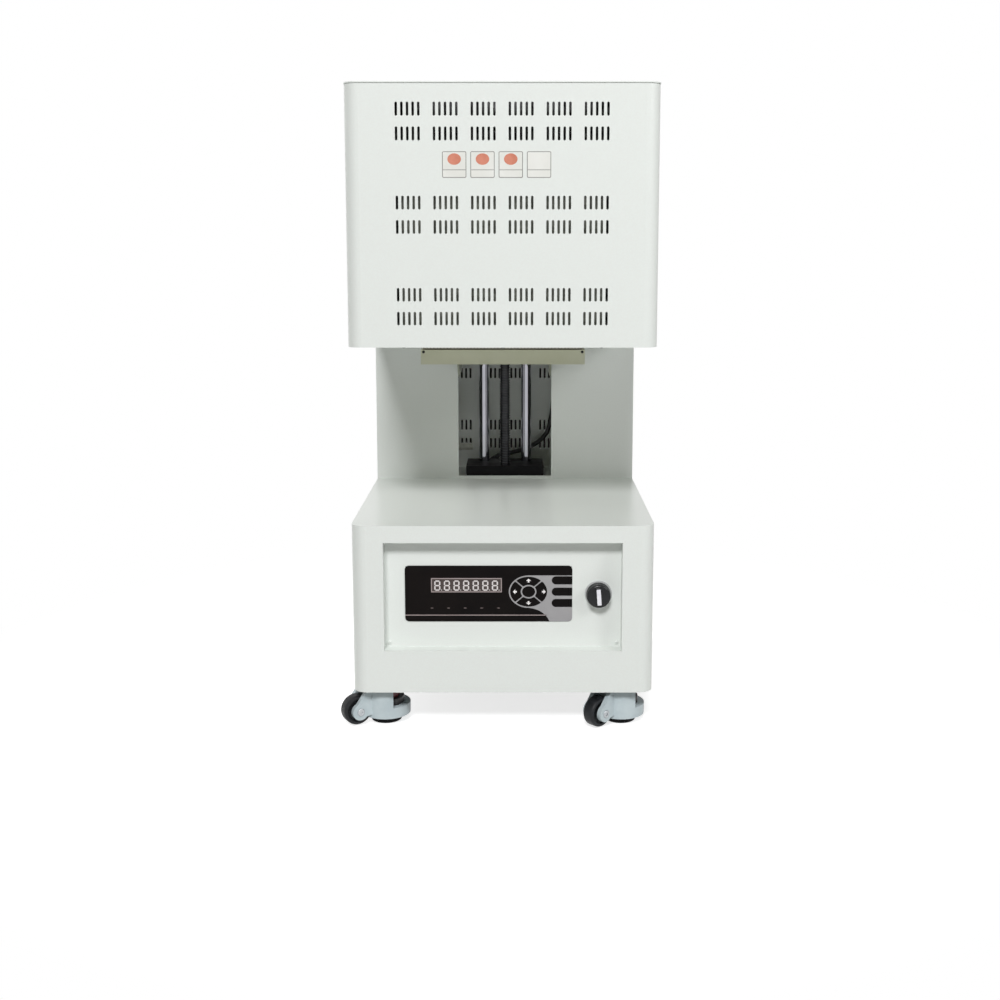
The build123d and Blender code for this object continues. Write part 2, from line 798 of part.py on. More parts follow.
carrier_tray.part.label = "carrier_tray"
export_step(carrier_tray.part, "parts/carrier_tray.step")

# Stepped insulation block of the hearth: slab in the tray, neck in the throat, plug in the chamber
slab_size = tray_size - 2 * tray_sheet - 2 * clearance
neck_size = throat_size - 2 * hearth_neck_gap
plug_size = chamber_size - 2 * hearth_gap
neck_top_z = insulation_bottom_z - tray_sheet
with BuildPart() as hearth_insulation:
    for size, bottom, top in (
        (slab_size, tray_bottom_z + tray_sheet, tray_top_z - clearance),
        (neck_size, tray_top_z - clearance, neck_top_z),
        (plug_size, neck_top_z, hearth_top_z),
    ):
        with BuildSketch(Plane.XY.offset(bottom)):
            with Locations((0, chamber_y)):
                Rectangle(size, size)
        extrude(amount=top - bottom)

hearth_insulation.part.label = "hearth_insulation"
export_step(hearth_insulation.part, "parts/hearth_insulation.step")

# Loose ceramic plate that the work stands on
with BuildPart() as hearth_plate:
    with BuildSketch(Plane.XY.offset(hearth_top_z)):
        with Locations((0, chamber_y)):
            RectangleRounded(
                min(hearth_plate_size, plug_size), min(hearth_plate_size, plug_size), hearth_plate_thickness)
    extrude(amount=hearth_plate_thickness)

hearth_plate.part.label = "hearth_plate"
export_step(hearth_plate.part, "parts/hearth_plate.step")

# Welded lift carriage: two arms under the tray, bars across them and an upright plate
tray_back_y = chamber_y + tray_size / 2
arm_front_y = chamber_y - tray_size / 4
arm_riser_y = column_front_y + tube_side_gap + 2 * sheet
arm_shelf = 6.0
with BuildPart() as lift_carriage:
    with BuildSketch(Plane.YZ.offset(-arm_half_gap - arm_sheet)) as arm_outline:
        with BuildLine():
            Polyline(
                (arm_front_y, tray_bottom_z),
                (tray_back_y + 2 * sheet, tray_bottom_z),
                (tray_back_y + 2 * sheet, tray_top_z - sheet),
                (arm_riser_y, tray_top_z - sheet),
                (arm_riser_y, carriage_top_z),
                (carriage_back_y, carriage_top_z),
                (carriage_back_y, arm_bottom_z),
                (tray_back_y + 40, arm_bottom_z),
                (tray_back_y - 20, tray_bottom_z - 9),
                (arm_front_y, tray_bottom_z - arm_shelf),
                close=True,
            )
        make_face()
    extrude(amount=arm_sheet)
    mirror(about=Plane.YZ)
    for bar_y in (arm_front_y + 10, tray_back_y - 20):
        with Locations((0, bar_y, tray_bottom_z - arm_shelf / 2)):
            Box(2 * arm_half_gap, 20, arm_shelf)
    with Locations((0, (carriage_front_y + carriage_back_y) / 2, (carriage_bottom_z + carriage_top_z) / 2)):
        Box(2 * arm_half_gap, carriage_plate, carriage_height)

lift_carriage.part.label = "lift_carriage"
export_step(lift_carriage.part, "parts/lift_carriage.step")

# Four linear bearings on the rods, and the flag that the limit sensors see
bearing_low_z = carriage_bottom_z + 5 + bearing_length / 2
bearing_places = [
    (side * rod_half_pitch, rod_y - bearing_seat + bearing_depth / 2, bearing_low_z + level * bearing_pitch)
    for side in (-1, 1)
    for level in (0, 1)
]
bearing_back_y = rod_y - bearing_seat + bearing_depth
flag_x = sensor_tip_x + 5
with BuildPart() as linear_bearings:
    with Locations(*bearing_places):
        Box(bearing_width, bearing_depth, bearing_length)
    fillet(linear_bearings.edges().filter_by(Axis.Z), radius=3)
    with Locations(*[(side * rod_half_pitch, rod_y, bearing_low_z + bearing_pitch / 2) for side in (-1, 1)]):
        Cylinder(rod_radius + running_fit, 3 * bearing_length, mode=Mode.SUBTRACT)
with BuildPart() as sensor_flag:
    with Locations((flag_x, bearing_back_y + 11, flag_bottom_z + flag_height / 2)):
        Box(2, 22, flag_height)
    with Locations((flag_x + 9, bearing_back_y + 1, bearing_low_z)):
        Box(20, 2, 30)
bearing_group = Compound(
    label="linear_bearings",
    children=[*linear_bearings.part.solids(), *sensor_flag.part.solids()],
)
export_step(bearing_group, "parts/linear_bearings.step")

# Flanged lead nut, bored clear of the thread crests
nut_bottom_z = carriage_bottom_z + 16
with BuildPart() as lead_nut:
    with Locations((0, screw_y, nut_bottom_z + (nut_length - nut_flange_thickness) / 2)):
        Cylinder(nut_radius, nut_length - nut_flange_thickness)
    with BuildSketch(Plane.XY.offset(nut_bottom_z + nut_length - nut_flange_thickness)):
        with Locations((0, (screw_y - nut_radius + carriage_front_y) / 2)):
            Rectangle(nut_flange, carriage_front_y - screw_y + nut_radius)
    extrude(amount=nut_flange_thickness)
    with Locations((0, screw_y, nut_bottom_z + nut_length / 2)):
        Cylinder(screw_radius + running_fit, 2 * nut_length, mode=Mode.SUBTRACT)

lead_nut.part.label = "lead_nut"
export_step(lead_nut.part, "parts/lead_nut.step")

# Two polished guide rods, clamped in both bearing blocks
rod_bottom_z = deck_z + 2
rod_length = upper_block_top_z - 2 - rod_bottom_z
with BuildPart() as guide_rods:
    with Locations(*[(side * rod_half_pitch, rod_y, rod_bottom_z + rod_length / 2) for side in (-1, 1)]):
        Cylinder(rod_radius, rod_length)
    chamfer(guide_rods.faces().sort_by(Axis.Z)[-2:].edges(), length=1)

guide_rods.part.label = "guide_rods"
export_step(guide_rods.part, "parts/guide_rods.step")

# Lower and upper bearing blocks of the rods and the screw
with BuildPart() as bearing_blocks:
    for bottom, back, screw_bore in (
        (deck_z, block_back_y, screw_foot_radius),
        (upper_block_z, inner_rear_y - tube, screw_head_radius),
    ):
        with BuildSketch(Plane.XY.offset(bottom)):
            with Locations((0, (block_front_y + back) / 2)):
                Rectangle(2 * block_half_width, back - block_front_y)
            with Locations(*[(side * rod_half_pitch, rod_y) for side in (-1, 1)]):
                Circle(rod_radius, mode=Mode.SUBTRACT)
            with Locations((0, screw_y)):
                Circle(screw_bore + running_fit, mode=Mode.SUBTRACT)
        extrude(amount=block_height)

bearing_blocks.part.label = "bearing_blocks"
export_step(bearing_blocks.part, "parts/bearing_blocks.step")

# Lead screw: threaded length between the blocks and two plain journals
thread_bottom_z = deck_z + block_height + clearance
thread_top_z = upper_block_z - clearance
screw_foot_z = deck_z - 45
with BuildPart() as lead_screw:
    for radius, bottom, top in (
        (screw_foot_radius, screw_foot_z, thread_bottom_z),
        (screw_radius, thread_bottom_z, thread_top_z),
        (screw_head_radius, thread_top_z, upper_block_top_z - 2),
    ):
        with Locations((0, screw_y, (bottom + top) / 2)):
            Cylinder(radius, top - bottom)

lead_screw.part.label = "lead_screw"
export_step(lead_screw.part, "parts/lead_screw.step")

# Clamped coupling on the foot of the screw, with the output shaft of the motor below
motor_top_z = deck_z - 95
coupling_bottom_z = motor_top_z + 20
with BuildPart() as coupling_hub:
    with Locations((0, screw_y, (coupling_bottom_z + deck_z - 25) / 2)):
        Cylinder(screw_foot_radius + 8, deck_z - 25 - coupling_bottom_z)
    with Locations((0, screw_y, (screw_foot_z + deck_z) / 2)):
        Cylinder(screw_foot_radius, deck_z - screw_foot_z, mode=Mode.SUBTRACT)
    with Locations((0, screw_y, (coupling_bottom_z + screw_foot_z) / 2)):
        Cylinder(screw_head_radius, screw_foot_z - coupling_bottom_z, mode=Mode.SUBTRACT)
with BuildPart() as motor_shaft:
    with Locations((0, screw_y, (motor_top_z - 30 + screw_foot_z - 2) / 2)):
        Cylinder(screw_head_radius, screw_foot_z - 2 - motor_top_z + 30)
coupling_group = Compound(
    label="shaft_coupling",
    children=[*coupling_hub.part.solids(), *motor_shaft.part.solids()],
)
export_step(coupling_group, "parts/shaft_coupling.step")

# Geared lift motor, hung under the deck on its bracket
gearbox_height = 60.0
gearbox_size = 84.0
motor_radius = 38.0
with BuildPart() as gear_motor:
    with Locations((0, screw_y, motor_top_z - gearbox_height / 2)):
        Box(gearbox_size, gearbox_size, gearbox_height)
    fillet(gear_motor.edges().filter_by(Axis.Z), radius=6)
    with BuildSketch(Plane.XY.offset(motor_top_z - gearbox_height)):
        with Locations((0, screw_y)):
            Circle(motor_radius)
    extrude(amount=-(motor_top_z - gearbox_height - floor_top_z - 30))
    with Locations((0, screw_y, motor_top_z)):
        Cylinder(screw_head_radius + running_fit, 70, mode=Mode.SUBTRACT)
with BuildPart() as motor_bracket:
    with Locations((0, screw_y, motor_top_z + 3)):
        Box(gearbox_size + 40, gearbox_size, 6)
    with Locations((0, screw_y, motor_top_z + 3)):
        Cylinder(screw_head_radius + 10, 6, mode=Mode.SUBTRACT)
    for side in (-1, 1):
        with Locations((side * (gearbox_size / 2 + 17), screw_y, (motor_top_z + deck_z - sheet) / 2)):
            Box(6, gearbox_size, deck_z - sheet - motor_top_z)
motor_group = Compound(
    label="gear_motor",
    children=[*gear_motor.part.solids(), *motor_bracket.part.solids()],
)
export_step(motor_group, "parts/gear_motor.step")

# Two barrel limit sensors on angle brackets, looking at the flag of the carriage
bracket_x = sensor_tip_x - 40
with BuildPart() as sensor_barrels:
    with Locations(*[(sensor_tip_x - sensor_length / 2, sensor_y, z) for z in (lower_sensor_z, upper_sensor_z)]):
        Cylinder(sensor_radius, sensor_length, rotation=(0, 90, 0))
with BuildPart() as sensor_brackets:
    with Locations((bracket_x, sensor_y, (deck_z + lower_sensor_z + 13) / 2)):
        Box(4, 20, lower_sensor_z + 13 - deck_z)
    with Locations((bracket_x - 12, sensor_y, deck_z + 2)):
        Box(20, 20, 4)
    with Locations((bracket_x, (sensor_y - 8 + inner_rear_y - tube) / 2, (upper_sensor_z - 13 + upper_block_top_z) / 2)):
        Box(4, inner_rear_y - tube - sensor_y + 8, upper_block_top_z - upper_sensor_z + 13)
    with Locations(*[(bracket_x, sensor_y, z) for z in (lower_sensor_z, upper_sensor_z)]):
        Cylinder(sensor_radius, 20, rotation=(0, 90, 0), mode=Mode.SUBTRACT)
sensor_group = Compound(
    label="limit_sensors",
    children=[*sensor_barrels.part.solids(), *sensor_brackets.part.solids()],
)
export_step(sensor_group, "parts/limit_sensors.step")

# Power unit on the floor of the base: transformer, power controller and terminal block
transformer_top_z = floor_top_z + 110
terminal_z = transformer_top_z + 30
with BuildPart() as power_unit:
    with Locations((-125, power_y, (floor_top_z + transformer_top_z) / 2)):
        Box(130, 150, transformer_top_z - floor_top_z)
    with Locations((-72, power_y + 20, transformer_top_z + 15)):
        Box(24, 60, 30)
    with Locations((135, power_y - 40, floor_top_z + 40)):
        Box(90, 110, 80)

power_unit.part.label = "power_unit"
export_step(power_unit.part, "parts/power_unit.step")

# Internal cables: heater cable up the column, sensor lead, and the block they end on
block_size = (80.0, 36.0, 34.0)
block_y = chamber_y + insulation_size / 2 - 30
riser_x = 104.0
heater_route = [
    (-72, power_y + 50, transformer_top_z + 16),
    (-72, column_front_y + 16, transformer_top_z + 16),
    (-52, cable_y, transformer_top_z + 40),
    (-52, cable_y, deck_z + 24),
    (60, cable_y, deck_z + 42.5),
    (riser_x, cable_y, deck_z + 101),
    (riser_x, cable_y, jacket_top_z + 18),
    (riser_x, block_y + block_size[1] / 2, jacket_top_z + 18),
]
lead_route = [
    (sensor_tip_x - sensor_length, sensor_y, lower_sensor_z),
    (-160, sensor_y, lower_sensor_z),
    (-160, cable_y, transformer_top_z + 60),
    (-110, power_y + 75, transformer_top_z - 10),
]


def run_cable(route, radius):
    """A round cable along a route of straight runs and tangent bends."""
    radii = tangent_radii(route)
    print("cable radius", radius, "bends", [round(value, 1) for value in radii])
    with BuildPart() as cable:
        with BuildLine():
            path = FilletPolyline(*route, radius=radii)
        with BuildSketch(Plane(origin=path @ 0, z_dir=path % 0)) as section:
            Circle(radius)
        sweep(section.sketch, path=path)
    share = cable.part.volume / (path.length * section.sketch.area)
    print("cable length", round(path.length, 1), "volume over section and length", round(share, 4))
    return cable.part


with BuildPart() as terminal_block:
    with Locations((riser_x, block_y, jacket_top_z + block_size[2] / 2)):
        Box(*block_size)
with BuildPart() as cable_clips:
    clip_back_y = inner_rear_y - tube
    for clip_z in (upper_block_top_z - tube / 2, deck_z - sheet - tube / 2):
        clip_x = riser_x if clip_z > deck_z else -52
        with Locations((clip_x, (cable_y - 8 + clip_back_y) / 2, clip_z)):
            Box(18, clip_back_y - cable_y + 8, 12)
        with Locations((clip_x, cable_y, clip_z)):
            Cylinder(main_cable_radius, 20, mode=Mode.SUBTRACT)
cable_group = Compound(
    label="cable_harness",
    children=[
        *run_cable(heater_route, main_cable_radius).solids(),
        *run_cable(lead_route, lead_radius).solids(),
        *terminal_block.part.solids(),
        *cable_clips.part.solids(),
    ],
)
export_step(cable_group, "parts/cable_harness.step")

# Cable gland in the back panel, with its lock nut inside
with BuildPart() as gland_body:
    with BuildSketch(facing(rear_y)):
        with Locations((gland_x, gland_z)):
            RegularPolygon(gland_hex / 2, 6, major_radius=False)
    extrude(amount=-gland_head)
    chamfer(gland_body.faces().sort_by(Axis.Y)[-1].edges(), length=1.5)
    with BuildSketch(facing(rear_y)):
        with Locations((gland_x, gland_z)):
            Circle(gland_thread_radius)
    extrude(amount=sheet + gland_nut + 3)
    with BuildSketch(facing(rear_y + gland_head)):
        with Locations((gland_x, gland_z)):
            Circle(gland_bore_radius)
    extrude(amount=gland_head + sheet + gland_nut + 3, mode=Mode.SUBTRACT)
with BuildPart() as gland_lock_nut:
    with BuildSketch(facing(inner_rear_y)):
        with Locations((gland_x, gland_z)):
            RegularPolygon(gland_hex / 2, 6, major_radius=False)
            Circle(gland_thread_radius, mode=Mode.SUBTRACT)
    extrude(amount=gland_nut)
gland_group = Compound(
    label="cable_gland",
    children=[*gland_body.part.solids(), *gland_lock_nut.part.solids()],
)
export_step(gland_group, "parts/cable_gland.step")

# Pan head screws of the back panel, bottom sheet, control recess and casters
with BuildPart() as casing_screws:
    for plane, points in (
        (facing(rear_y), rear_screws),
        (Plane.XY.offset(upper_z), throat_screws),
        (facing(panel_face_y), recess_screws),
        (Plane.XY.offset(caster_height - caster_plate_thickness), caster_bolts),
    ):
        outward = -1 if plane.origin.Y == rear_y or plane.z_dir.Z > 0.5 else 1
        with BuildSketch(plane):
            with Locations(*points):
                Circle(screw_head)
        extrude(amount=outward * screw_head_height)
        with BuildSketch(plane):
            with Locations(*points):
                Circle(screw_shank)
        extrude(amount=-outward * screw_length)

casing_screws.part.label = "casing_screws"
export_step(casing_screws.part, "parts/casing_screws.step")

# Top plates of the four casters, each with the outer race of its swivel
with BuildPart() as caster_plates:
    with BuildSketch(Plane.XY.offset(caster_height)):
        with Locations(*caster_centres):
            RectangleRounded(caster_plate, caster_plate, 6)
    extrude(amount=-caster_plate_thickness)
    with BuildSketch(Plane.XY.offset(caster_height - caster_plate_thickness)):
        with Locations(*caster_centres):
            Circle(race_outer_radius)
    extrude(amount=-race_height)
    with BuildSketch(Plane.XY.offset(caster_height - caster_plate_thickness)):
        with Locations(*caster_centres):
            Circle(race_inner_radius)
    extrude(amount=-race_height, mode=Mode.SUBTRACT)
    sheet_screw_holes(caster_bolts, Plane.XY.offset(caster_height + 1), caster_plate_thickness + 2)

caster_plates.part.label = "caster_plates"
export_step(caster_plates.part, "parts/caster_plates.step")

# Cast body of one caster: drum round the dial and foot, and the fork of the wheel
fork_inner = wheel_width / 2 + fork_gap
body_top_z = race_bottom_z - clearance
spigot_radius = race_inner_radius - running_fit
with BuildPart() as caster_body:
    with BuildSketch(Plane.XY.offset(drum_bottom)):
        Circle(drum_radius)
    extrude(amount=body_top_z - drum_bottom)
    for side in (-1, 1):
        with BuildSketch(Plane.XZ.offset(-side * fork_inner)) as fork_profile:
            with BuildLine():
                Polyline(
                    (dial_radius - 2, body_top_z - 1), (fork_shoulder, body_top_z - 1),
                    (wheel_trail + 11, wheel_z + 6), (wheel_trail, wheel_z - 11),
                    (dial_radius - 2, drum_bottom + 8), close=True,
                )
            make_face()
            with Locations((wheel_trail, wheel_z)):
                Circle(fork_end_radius)
        extrude(amount=-side * fork_thickness)
    with BuildSketch(Plane.XY.offset(body_top_z - 1)):
        with Locations(((dial_radius + fork_shoulder) / 2, 0)):
            Rectangle(fork_shoulder - dial_radius, 2 * fork_inner + fork_thickness)
    extrude(amount=-10)
    with Locations((wheel_trail, 0, wheel_z)):
        Cylinder(wheel_radius + 1.5, 2 * fork_inner, rotation=(90, 0, 0), mode=Mode.SUBTRACT)
        Cylinder(axle_radius, 2 * (fork_inner + fork_thickness), rotation=(90, 0, 0))
    for radius, bottom, top in (
        (dial_radius + 0.5, dial_bottom, dial_top),
        (pad_radius + 0.8, drum_bottom, pad_height + foot_travel + 1.5),
    ):
        with BuildSketch(Plane.XY.offset(bottom)):
            Circle(radius)
        extrude(amount=top - bottom, mode=Mode.SUBTRACT)
    with Locations(((window_reach - drum_radius) / 2, 0, (dial_bottom + dial_top) / 2)):
        Box(drum_radius + window_reach, 2 * drum_radius, dial_top - dial_bottom, mode=Mode.SUBTRACT)
    with BuildSketch(Plane.XY.offset(body_top_z)):
        Circle(spigot_radius)
    extrude(amount=race_height)
    with BuildSketch(Plane.XY.offset(drum_bottom)):
        Circle(stem_radius + running_fit)
    extrude(amount=body_top_z - drum_bottom + 4, mode=Mode.SUBTRACT)

# Wheel of one caster
with BuildPart() as caster_wheel:
    with Locations((wheel_trail, 0, wheel_z)):
        Cylinder(wheel_radius, wheel_width, rotation=(90, 0, 0))
        Cylinder(axle_radius + running_fit, 2 * wheel_width, rotation=(90, 0, 0), mode=Mode.SUBTRACT)
    fillet(caster_wheel.edges().filter_by(GeomType.CIRCLE).group_by(SortBy.RADIUS)[-1], radius=4)

# Thumb dial that raises and lowers the foot
with BuildPart() as caster_dial:
    with BuildSketch(Plane.XY.offset(dial_bottom + clearance)):
        Circle(dial_radius)
        with PolarLocations(dial_radius + 1.5, 16):
            Circle(2.5, mode=Mode.SUBTRACT)
    extrude(amount=11)
    with BuildSketch(Plane.XY.offset(dial_bottom + clearance + 11)):
        Circle(dial_collar_radius)
    extrude(amount=dial_top - dial_bottom - 11 - 2 * clearance)
    with BuildSketch(Plane.XY.offset(dial_bottom)):
        Circle(stem_radius + running_fit)
    extrude(amount=dial_top - dial_bottom, mode=Mode.SUBTRACT)

# Foot: pad and stem
with BuildPart() as caster_foot:
    with BuildSketch(Plane.XY):
        Circle(pad_radius)
    extrude(amount=pad_height)
    fillet(caster_foot.edges().filter_by(GeomType.CIRCLE), radius=2)
    with BuildSketch(Plane.XY.offset(pad_height)):
        Circle(stem_radius)
    extrude(amount=dial_top - pad_height)

for tag, (side_x, side_y) in caster_corners.items():
    place = Location((side_x * caster_x, side_y * caster_y, 0), (0, 0, caster_headings[tag]))
    for piece, built in (
        ("body", caster_body), ("wheel", caster_wheel), ("dial", caster_dial), ("foot", caster_foot),
    ):
        placed = built.part.moved(place)
        placed.label = f"caster_{piece}_{tag}"
        export_step(placed, f"parts/caster_{piece}_{tag}.step")
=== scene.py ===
import math

import bmesh
import bpy
from mathutils import Matrix, Vector


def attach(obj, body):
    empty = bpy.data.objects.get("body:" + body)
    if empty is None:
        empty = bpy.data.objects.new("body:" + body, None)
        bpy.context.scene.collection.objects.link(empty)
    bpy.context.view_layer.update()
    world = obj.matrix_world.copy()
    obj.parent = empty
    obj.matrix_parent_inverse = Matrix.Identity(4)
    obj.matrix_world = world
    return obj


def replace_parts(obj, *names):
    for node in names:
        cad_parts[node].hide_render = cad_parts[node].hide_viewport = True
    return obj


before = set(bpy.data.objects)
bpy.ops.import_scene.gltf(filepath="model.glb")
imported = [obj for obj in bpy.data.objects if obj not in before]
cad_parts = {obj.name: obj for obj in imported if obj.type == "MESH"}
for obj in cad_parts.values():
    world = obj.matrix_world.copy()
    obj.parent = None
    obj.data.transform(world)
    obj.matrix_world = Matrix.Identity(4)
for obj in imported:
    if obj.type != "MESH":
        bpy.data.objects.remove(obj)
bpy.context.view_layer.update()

# The photographer's place
# The furnace was photographed from 2.3 m in front and a little right of its middle, with the lens 0.8 m up
# and tilted 8 degrees down. The lens shift brings the furnace back to its place in the picture.
mm = 0.001
scene = bpy.context.scene
camera_place = (21.4 * mm, -2326.4 * mm, 811.6 * mm)
camera_tilt = 8
lens_length = 46
lens_shift = (-0.0158, -0.0795)

camera_lens = bpy.data.cameras.new("studio_camera")
camera_lens.sensor_width = 36
camera_lens.lens = lens_length
camera_lens.shift_x, camera_lens.shift_y = lens_shift
camera = bpy.data.objects.new("studio_camera", camera_lens)
camera.location = camera_place
camera.rotation_euler = (math.radians(90 - camera_tilt), 0, 0)
scene.collection.objects.link(camera)
scene.camera = camera
scene.view_settings.view_transform = "Standard"


# The studio room
# A pale seamless floor and white surroundings. A large soft lamp hangs high in front of the furnace, so that
# the loading bay falls into the shade of the box above it. Two more fill in from the right and from behind.
def shade(code):
    """The linear colour of an sRGB hex value."""
    parts = [int(code[start:start + 2], 16) / 255 for start in (1, 3, 5)]
    return (*[part / 12.92 if part <= 0.04045 else ((part + 0.055) / 1.055) ** 2.4 for part in parts], 1.0)


def add_node(tree, kind, inputs=(), **settings):
    """Adds a node with its settings. Each input is given a plain value or another node's output."""
    node = tree.nodes.new(kind)
    for name, value in settings.items():
        setattr(node, name, value)
    for socket, value in dict(inputs).items():
        if isinstance(value, bpy.types.NodeSocket):
            tree.links.new(value, node.inputs[socket])
        else:
            node.inputs[socket].default_value = value
    return node


def seen_directly(tree):
    """1 where the camera, a reflection or a clear pane looks, and 0 where light bounces."""
    rays = add_node(tree, "ShaderNodeLightPath")
    mirrored = add_node(tree, "ShaderNodeMath", {0: rays.outputs["Is Camera Ray"],
                        1: rays.outputs["Is Glossy Ray"]}, operation="MAXIMUM")
    return add_node(tree, "ShaderNodeMath", {0: mirrored.outputs[0], 1: rays.outputs["Is Transmission Ray"]},
                    operation="MAXIMUM").outputs[0]


def mix_looks(tree, factor, first, second, target="ShaderNodeOutputMaterial"):
    """Sends out the first look where the factor is 0 and the second where it is 1."""
    mixed = add_node(tree, "ShaderNodeMixShader", {0: factor, 1: first.outputs[0], 2: second.outputs[0]})
    add_node(tree, target, {"Surface": mixed.outputs[0]})


def flat_sheet(name, material, corners):
    """A sheet of the studio through its corners, with a material whose tree is still empty."""
    sheet = bpy.data.meshes.new(name)
    sheet.from_pydata(corners, [], [tuple(range(len(corners)))])
    hung = bpy.data.objects.new(name, sheet)
    scene.collection.objects.link(hung)
    finish = bpy.data.materials.new(material)
    finish.use_nodes = True
    finish.node_tree.nodes.clear()
    sheet.materials.append(finish)
    return hung, finish.node_tree


def hang_softbox(name, place, width, height, power, tint):
    """A large soft rectangular lamp at a place, turned to face the middle of the furnace."""
    lamp = bpy.data.lights.new(name, "AREA")
    lamp.shape = "RECTANGLE"
    lamp.size, lamp.size_y = width, height
    lamp.energy = power
    lamp.color = shade(tint)[:3]
    hung = bpy.data.objects.new(name, lamp)
    hung.location = place
    hung.rotation_euler = (lamp_aim - Vector(place)).to_track_quat("-Z", "Y").to_euler()
    scene.collection.objects.link(hung)
    return hung


lamp_aim = Vector((0, 0, 0.5))
hang_softbox("side_softbox", (3.0, -2.2, 2.4), 1.2, 1.2, 46, "#FEFDFF")
hang_softbox("front_softbox", (-0.9, -8.0, 7.1), 3.0, 2.0, 800, "#FEFDFF")
# The rear lamp is kept out of reflections, so that the lid doesn't mirror it
rear_softbox = hang_softbox("rear_softbox", (-3.2, 3.4, 1.7), 2.4, 2.4, 130, "#FFFEFF")
rear_softbox.visible_glossy = False

room = bpy.data.worlds.new("white_room")
room.use_nodes = True
room_tree = room.node_tree
room_tree.nodes.clear()
room_light_level = 0.06
room_light = add_node(room_tree, "ShaderNodeBackground", {"Color": shade("#E2E6A8"),
                      "Strength": room_light_level})
room_white = add_node(room_tree, "ShaderNodeBackground", {"Color": (1, 1, 1, 1), "Strength": 1.0})
mix_looks(room_tree, seen_directly(room_tree), room_light, room_white, "ShaderNodeOutputWorld")
scene.world = room

# Seamless paper: matt where it shows the shadow, glowing softly so that it photographs white, and pure white
# from a little way out. It lies just under the feet.
floor_reach, floor_level = 9.0, -0.3 * mm
fade_start, fade_end = 0.5, 1.1
glow_level = 0.74
studio_floor, floor_tree = flat_sheet("studio_floor", "matt_studio_paper", [
    (-floor_reach, -floor_reach, floor_level), (floor_reach, -floor_reach, floor_level),
    (floor_reach, floor_reach, floor_level), (-floor_reach, floor_reach, floor_level)])
paper_matt = add_node(floor_tree, "ShaderNodeBsdfDiffuse", {"Color": shade("#D4D4D4")})
paper_glow = add_node(floor_tree, "ShaderNodeEmission", {"Color": (1, 1, 1, 1), "Strength": glow_level})
paper_near = add_node(floor_tree, "ShaderNodeAddShader", {0: paper_matt.outputs[0], 1: paper_glow.outputs[0]})
paper_far = add_node(floor_tree, "ShaderNodeEmission", {"Color": (1, 1, 1, 1), "Strength": 1.0})
floor_place = add_node(floor_tree, "ShaderNodeTexCoord").outputs["Object"]
floor_distance = add_node(floor_tree, "ShaderNodeVectorMath", {0: floor_place}, operation="LENGTH")
paper_fade = add_node(floor_tree, "ShaderNodeMapRange", {"Value": floor_distance.outputs["Value"],
                      "From Min": fade_start, "From Max": fade_end}, interpolation_type="SMOOTHSTEP")
paper_lit = add_node(floor_tree, "ShaderNodeMixShader", {0: paper_fade.outputs[0], 1: paper_near.outputs[0],
                     2: paper_far.outputs[0]})
mix_looks(floor_tree, seen_directly(floor_tree), paper_matt, paper_lit)

# The slots of the back cover look into shade, so a black card of painted shade hangs close behind it.
# It shows only to the lens, and only from its front, so it throws no shade and hides nothing from behind.
card_depth, card_half, card_low, card_high = 282.8 * mm, 215 * mm, 250 * mm, 1048 * mm
black_card, card_tree = flat_sheet("black_card", "black_velvet_card", [
    (-card_half, card_depth, card_low), (card_half, card_depth, card_low),
    (card_half, card_depth, card_high), (-card_half, card_depth, card_high)])
card_rays = add_node(card_tree, "ShaderNodeLightPath")
card_side = add_node(card_tree, "ShaderNodeNewGeometry")
card_front = add_node(card_tree, "ShaderNodeMath", {0: 1.0, 1: card_side.outputs["Backfacing"]},
                      operation="SUBTRACT")
card_shown = add_node(card_tree, "ShaderNodeMath", {0: card_front.outputs[0],
                      1: card_rays.outputs["Is Camera Ray"]}, operation="MULTIPLY")
card_clear = add_node(card_tree, "ShaderNodeBsdfTransparent")
# A flat black glow: the painted shade seen through the slots
card_painted_shade = add_node(card_tree, "ShaderNodeEmission", {"Color": shade("#0B0A09"), "Strength": 1.0})
mix_looks(card_tree, card_shown.outputs[0], card_clear, card_painted_shade)


# The four levelling casters
# Each is a pale painted zinc casting that swivels under a steel plate, with a black nylon wheel and a
# red-collared levelling dial that screws a rubber foot down until the wheel hangs free of the floor.
def new_finish(name, colour, roughness, metallic=0.0):
    """A new material: itself, its node tree, its shader and the piece's own coordinates in millimetres."""
    finish = bpy.data.materials.new(name)
    finish.use_nodes = True
    tree = finish.node_tree
    tree.nodes.clear()
    shader = add_node(tree, "ShaderNodeBsdfPrincipled", {"Base Color": shade(colour), "Roughness": roughness,
                      "Metallic": metallic})
    add_node(tree, "ShaderNodeOutputMaterial", {"Surface": shader.outputs[0]})
    place = add_node(tree, "ShaderNodeTexCoord").outputs["Object"]
    in_mm = add_node(tree, "ShaderNodeVectorMath", {0: place, "Scale": 1 / mm}, operation="SCALE").outputs[0]
    return finish, tree, shader, in_mm


def grain_surface(tree, shader, in_mm, grain, depth, detail=2.0):
    """Relief of a real grain size and depth in mm."""
    bumps = add_node(tree, "ShaderNodeTexNoise", {"Vector": in_mm, "Scale": 1 / grain, "Detail": detail})
    relief = add_node(tree, "ShaderNodeBump", {"Height": bumps.outputs["Fac"], "Distance": depth * mm})
    tree.links.new(relief.outputs[0], shader.inputs["Normal"])


def two_tone(tree, shader, factor, first, second):
    """Colours a finish between two colours by a factor."""
    tint = add_node(tree, "ShaderNodeMix", {"Factor": factor, 6: shade(first), 7: shade(second)},
                    data_type="RGBA")
    tree.links.new(tint.outputs[2], shader.inputs["Base Color"])


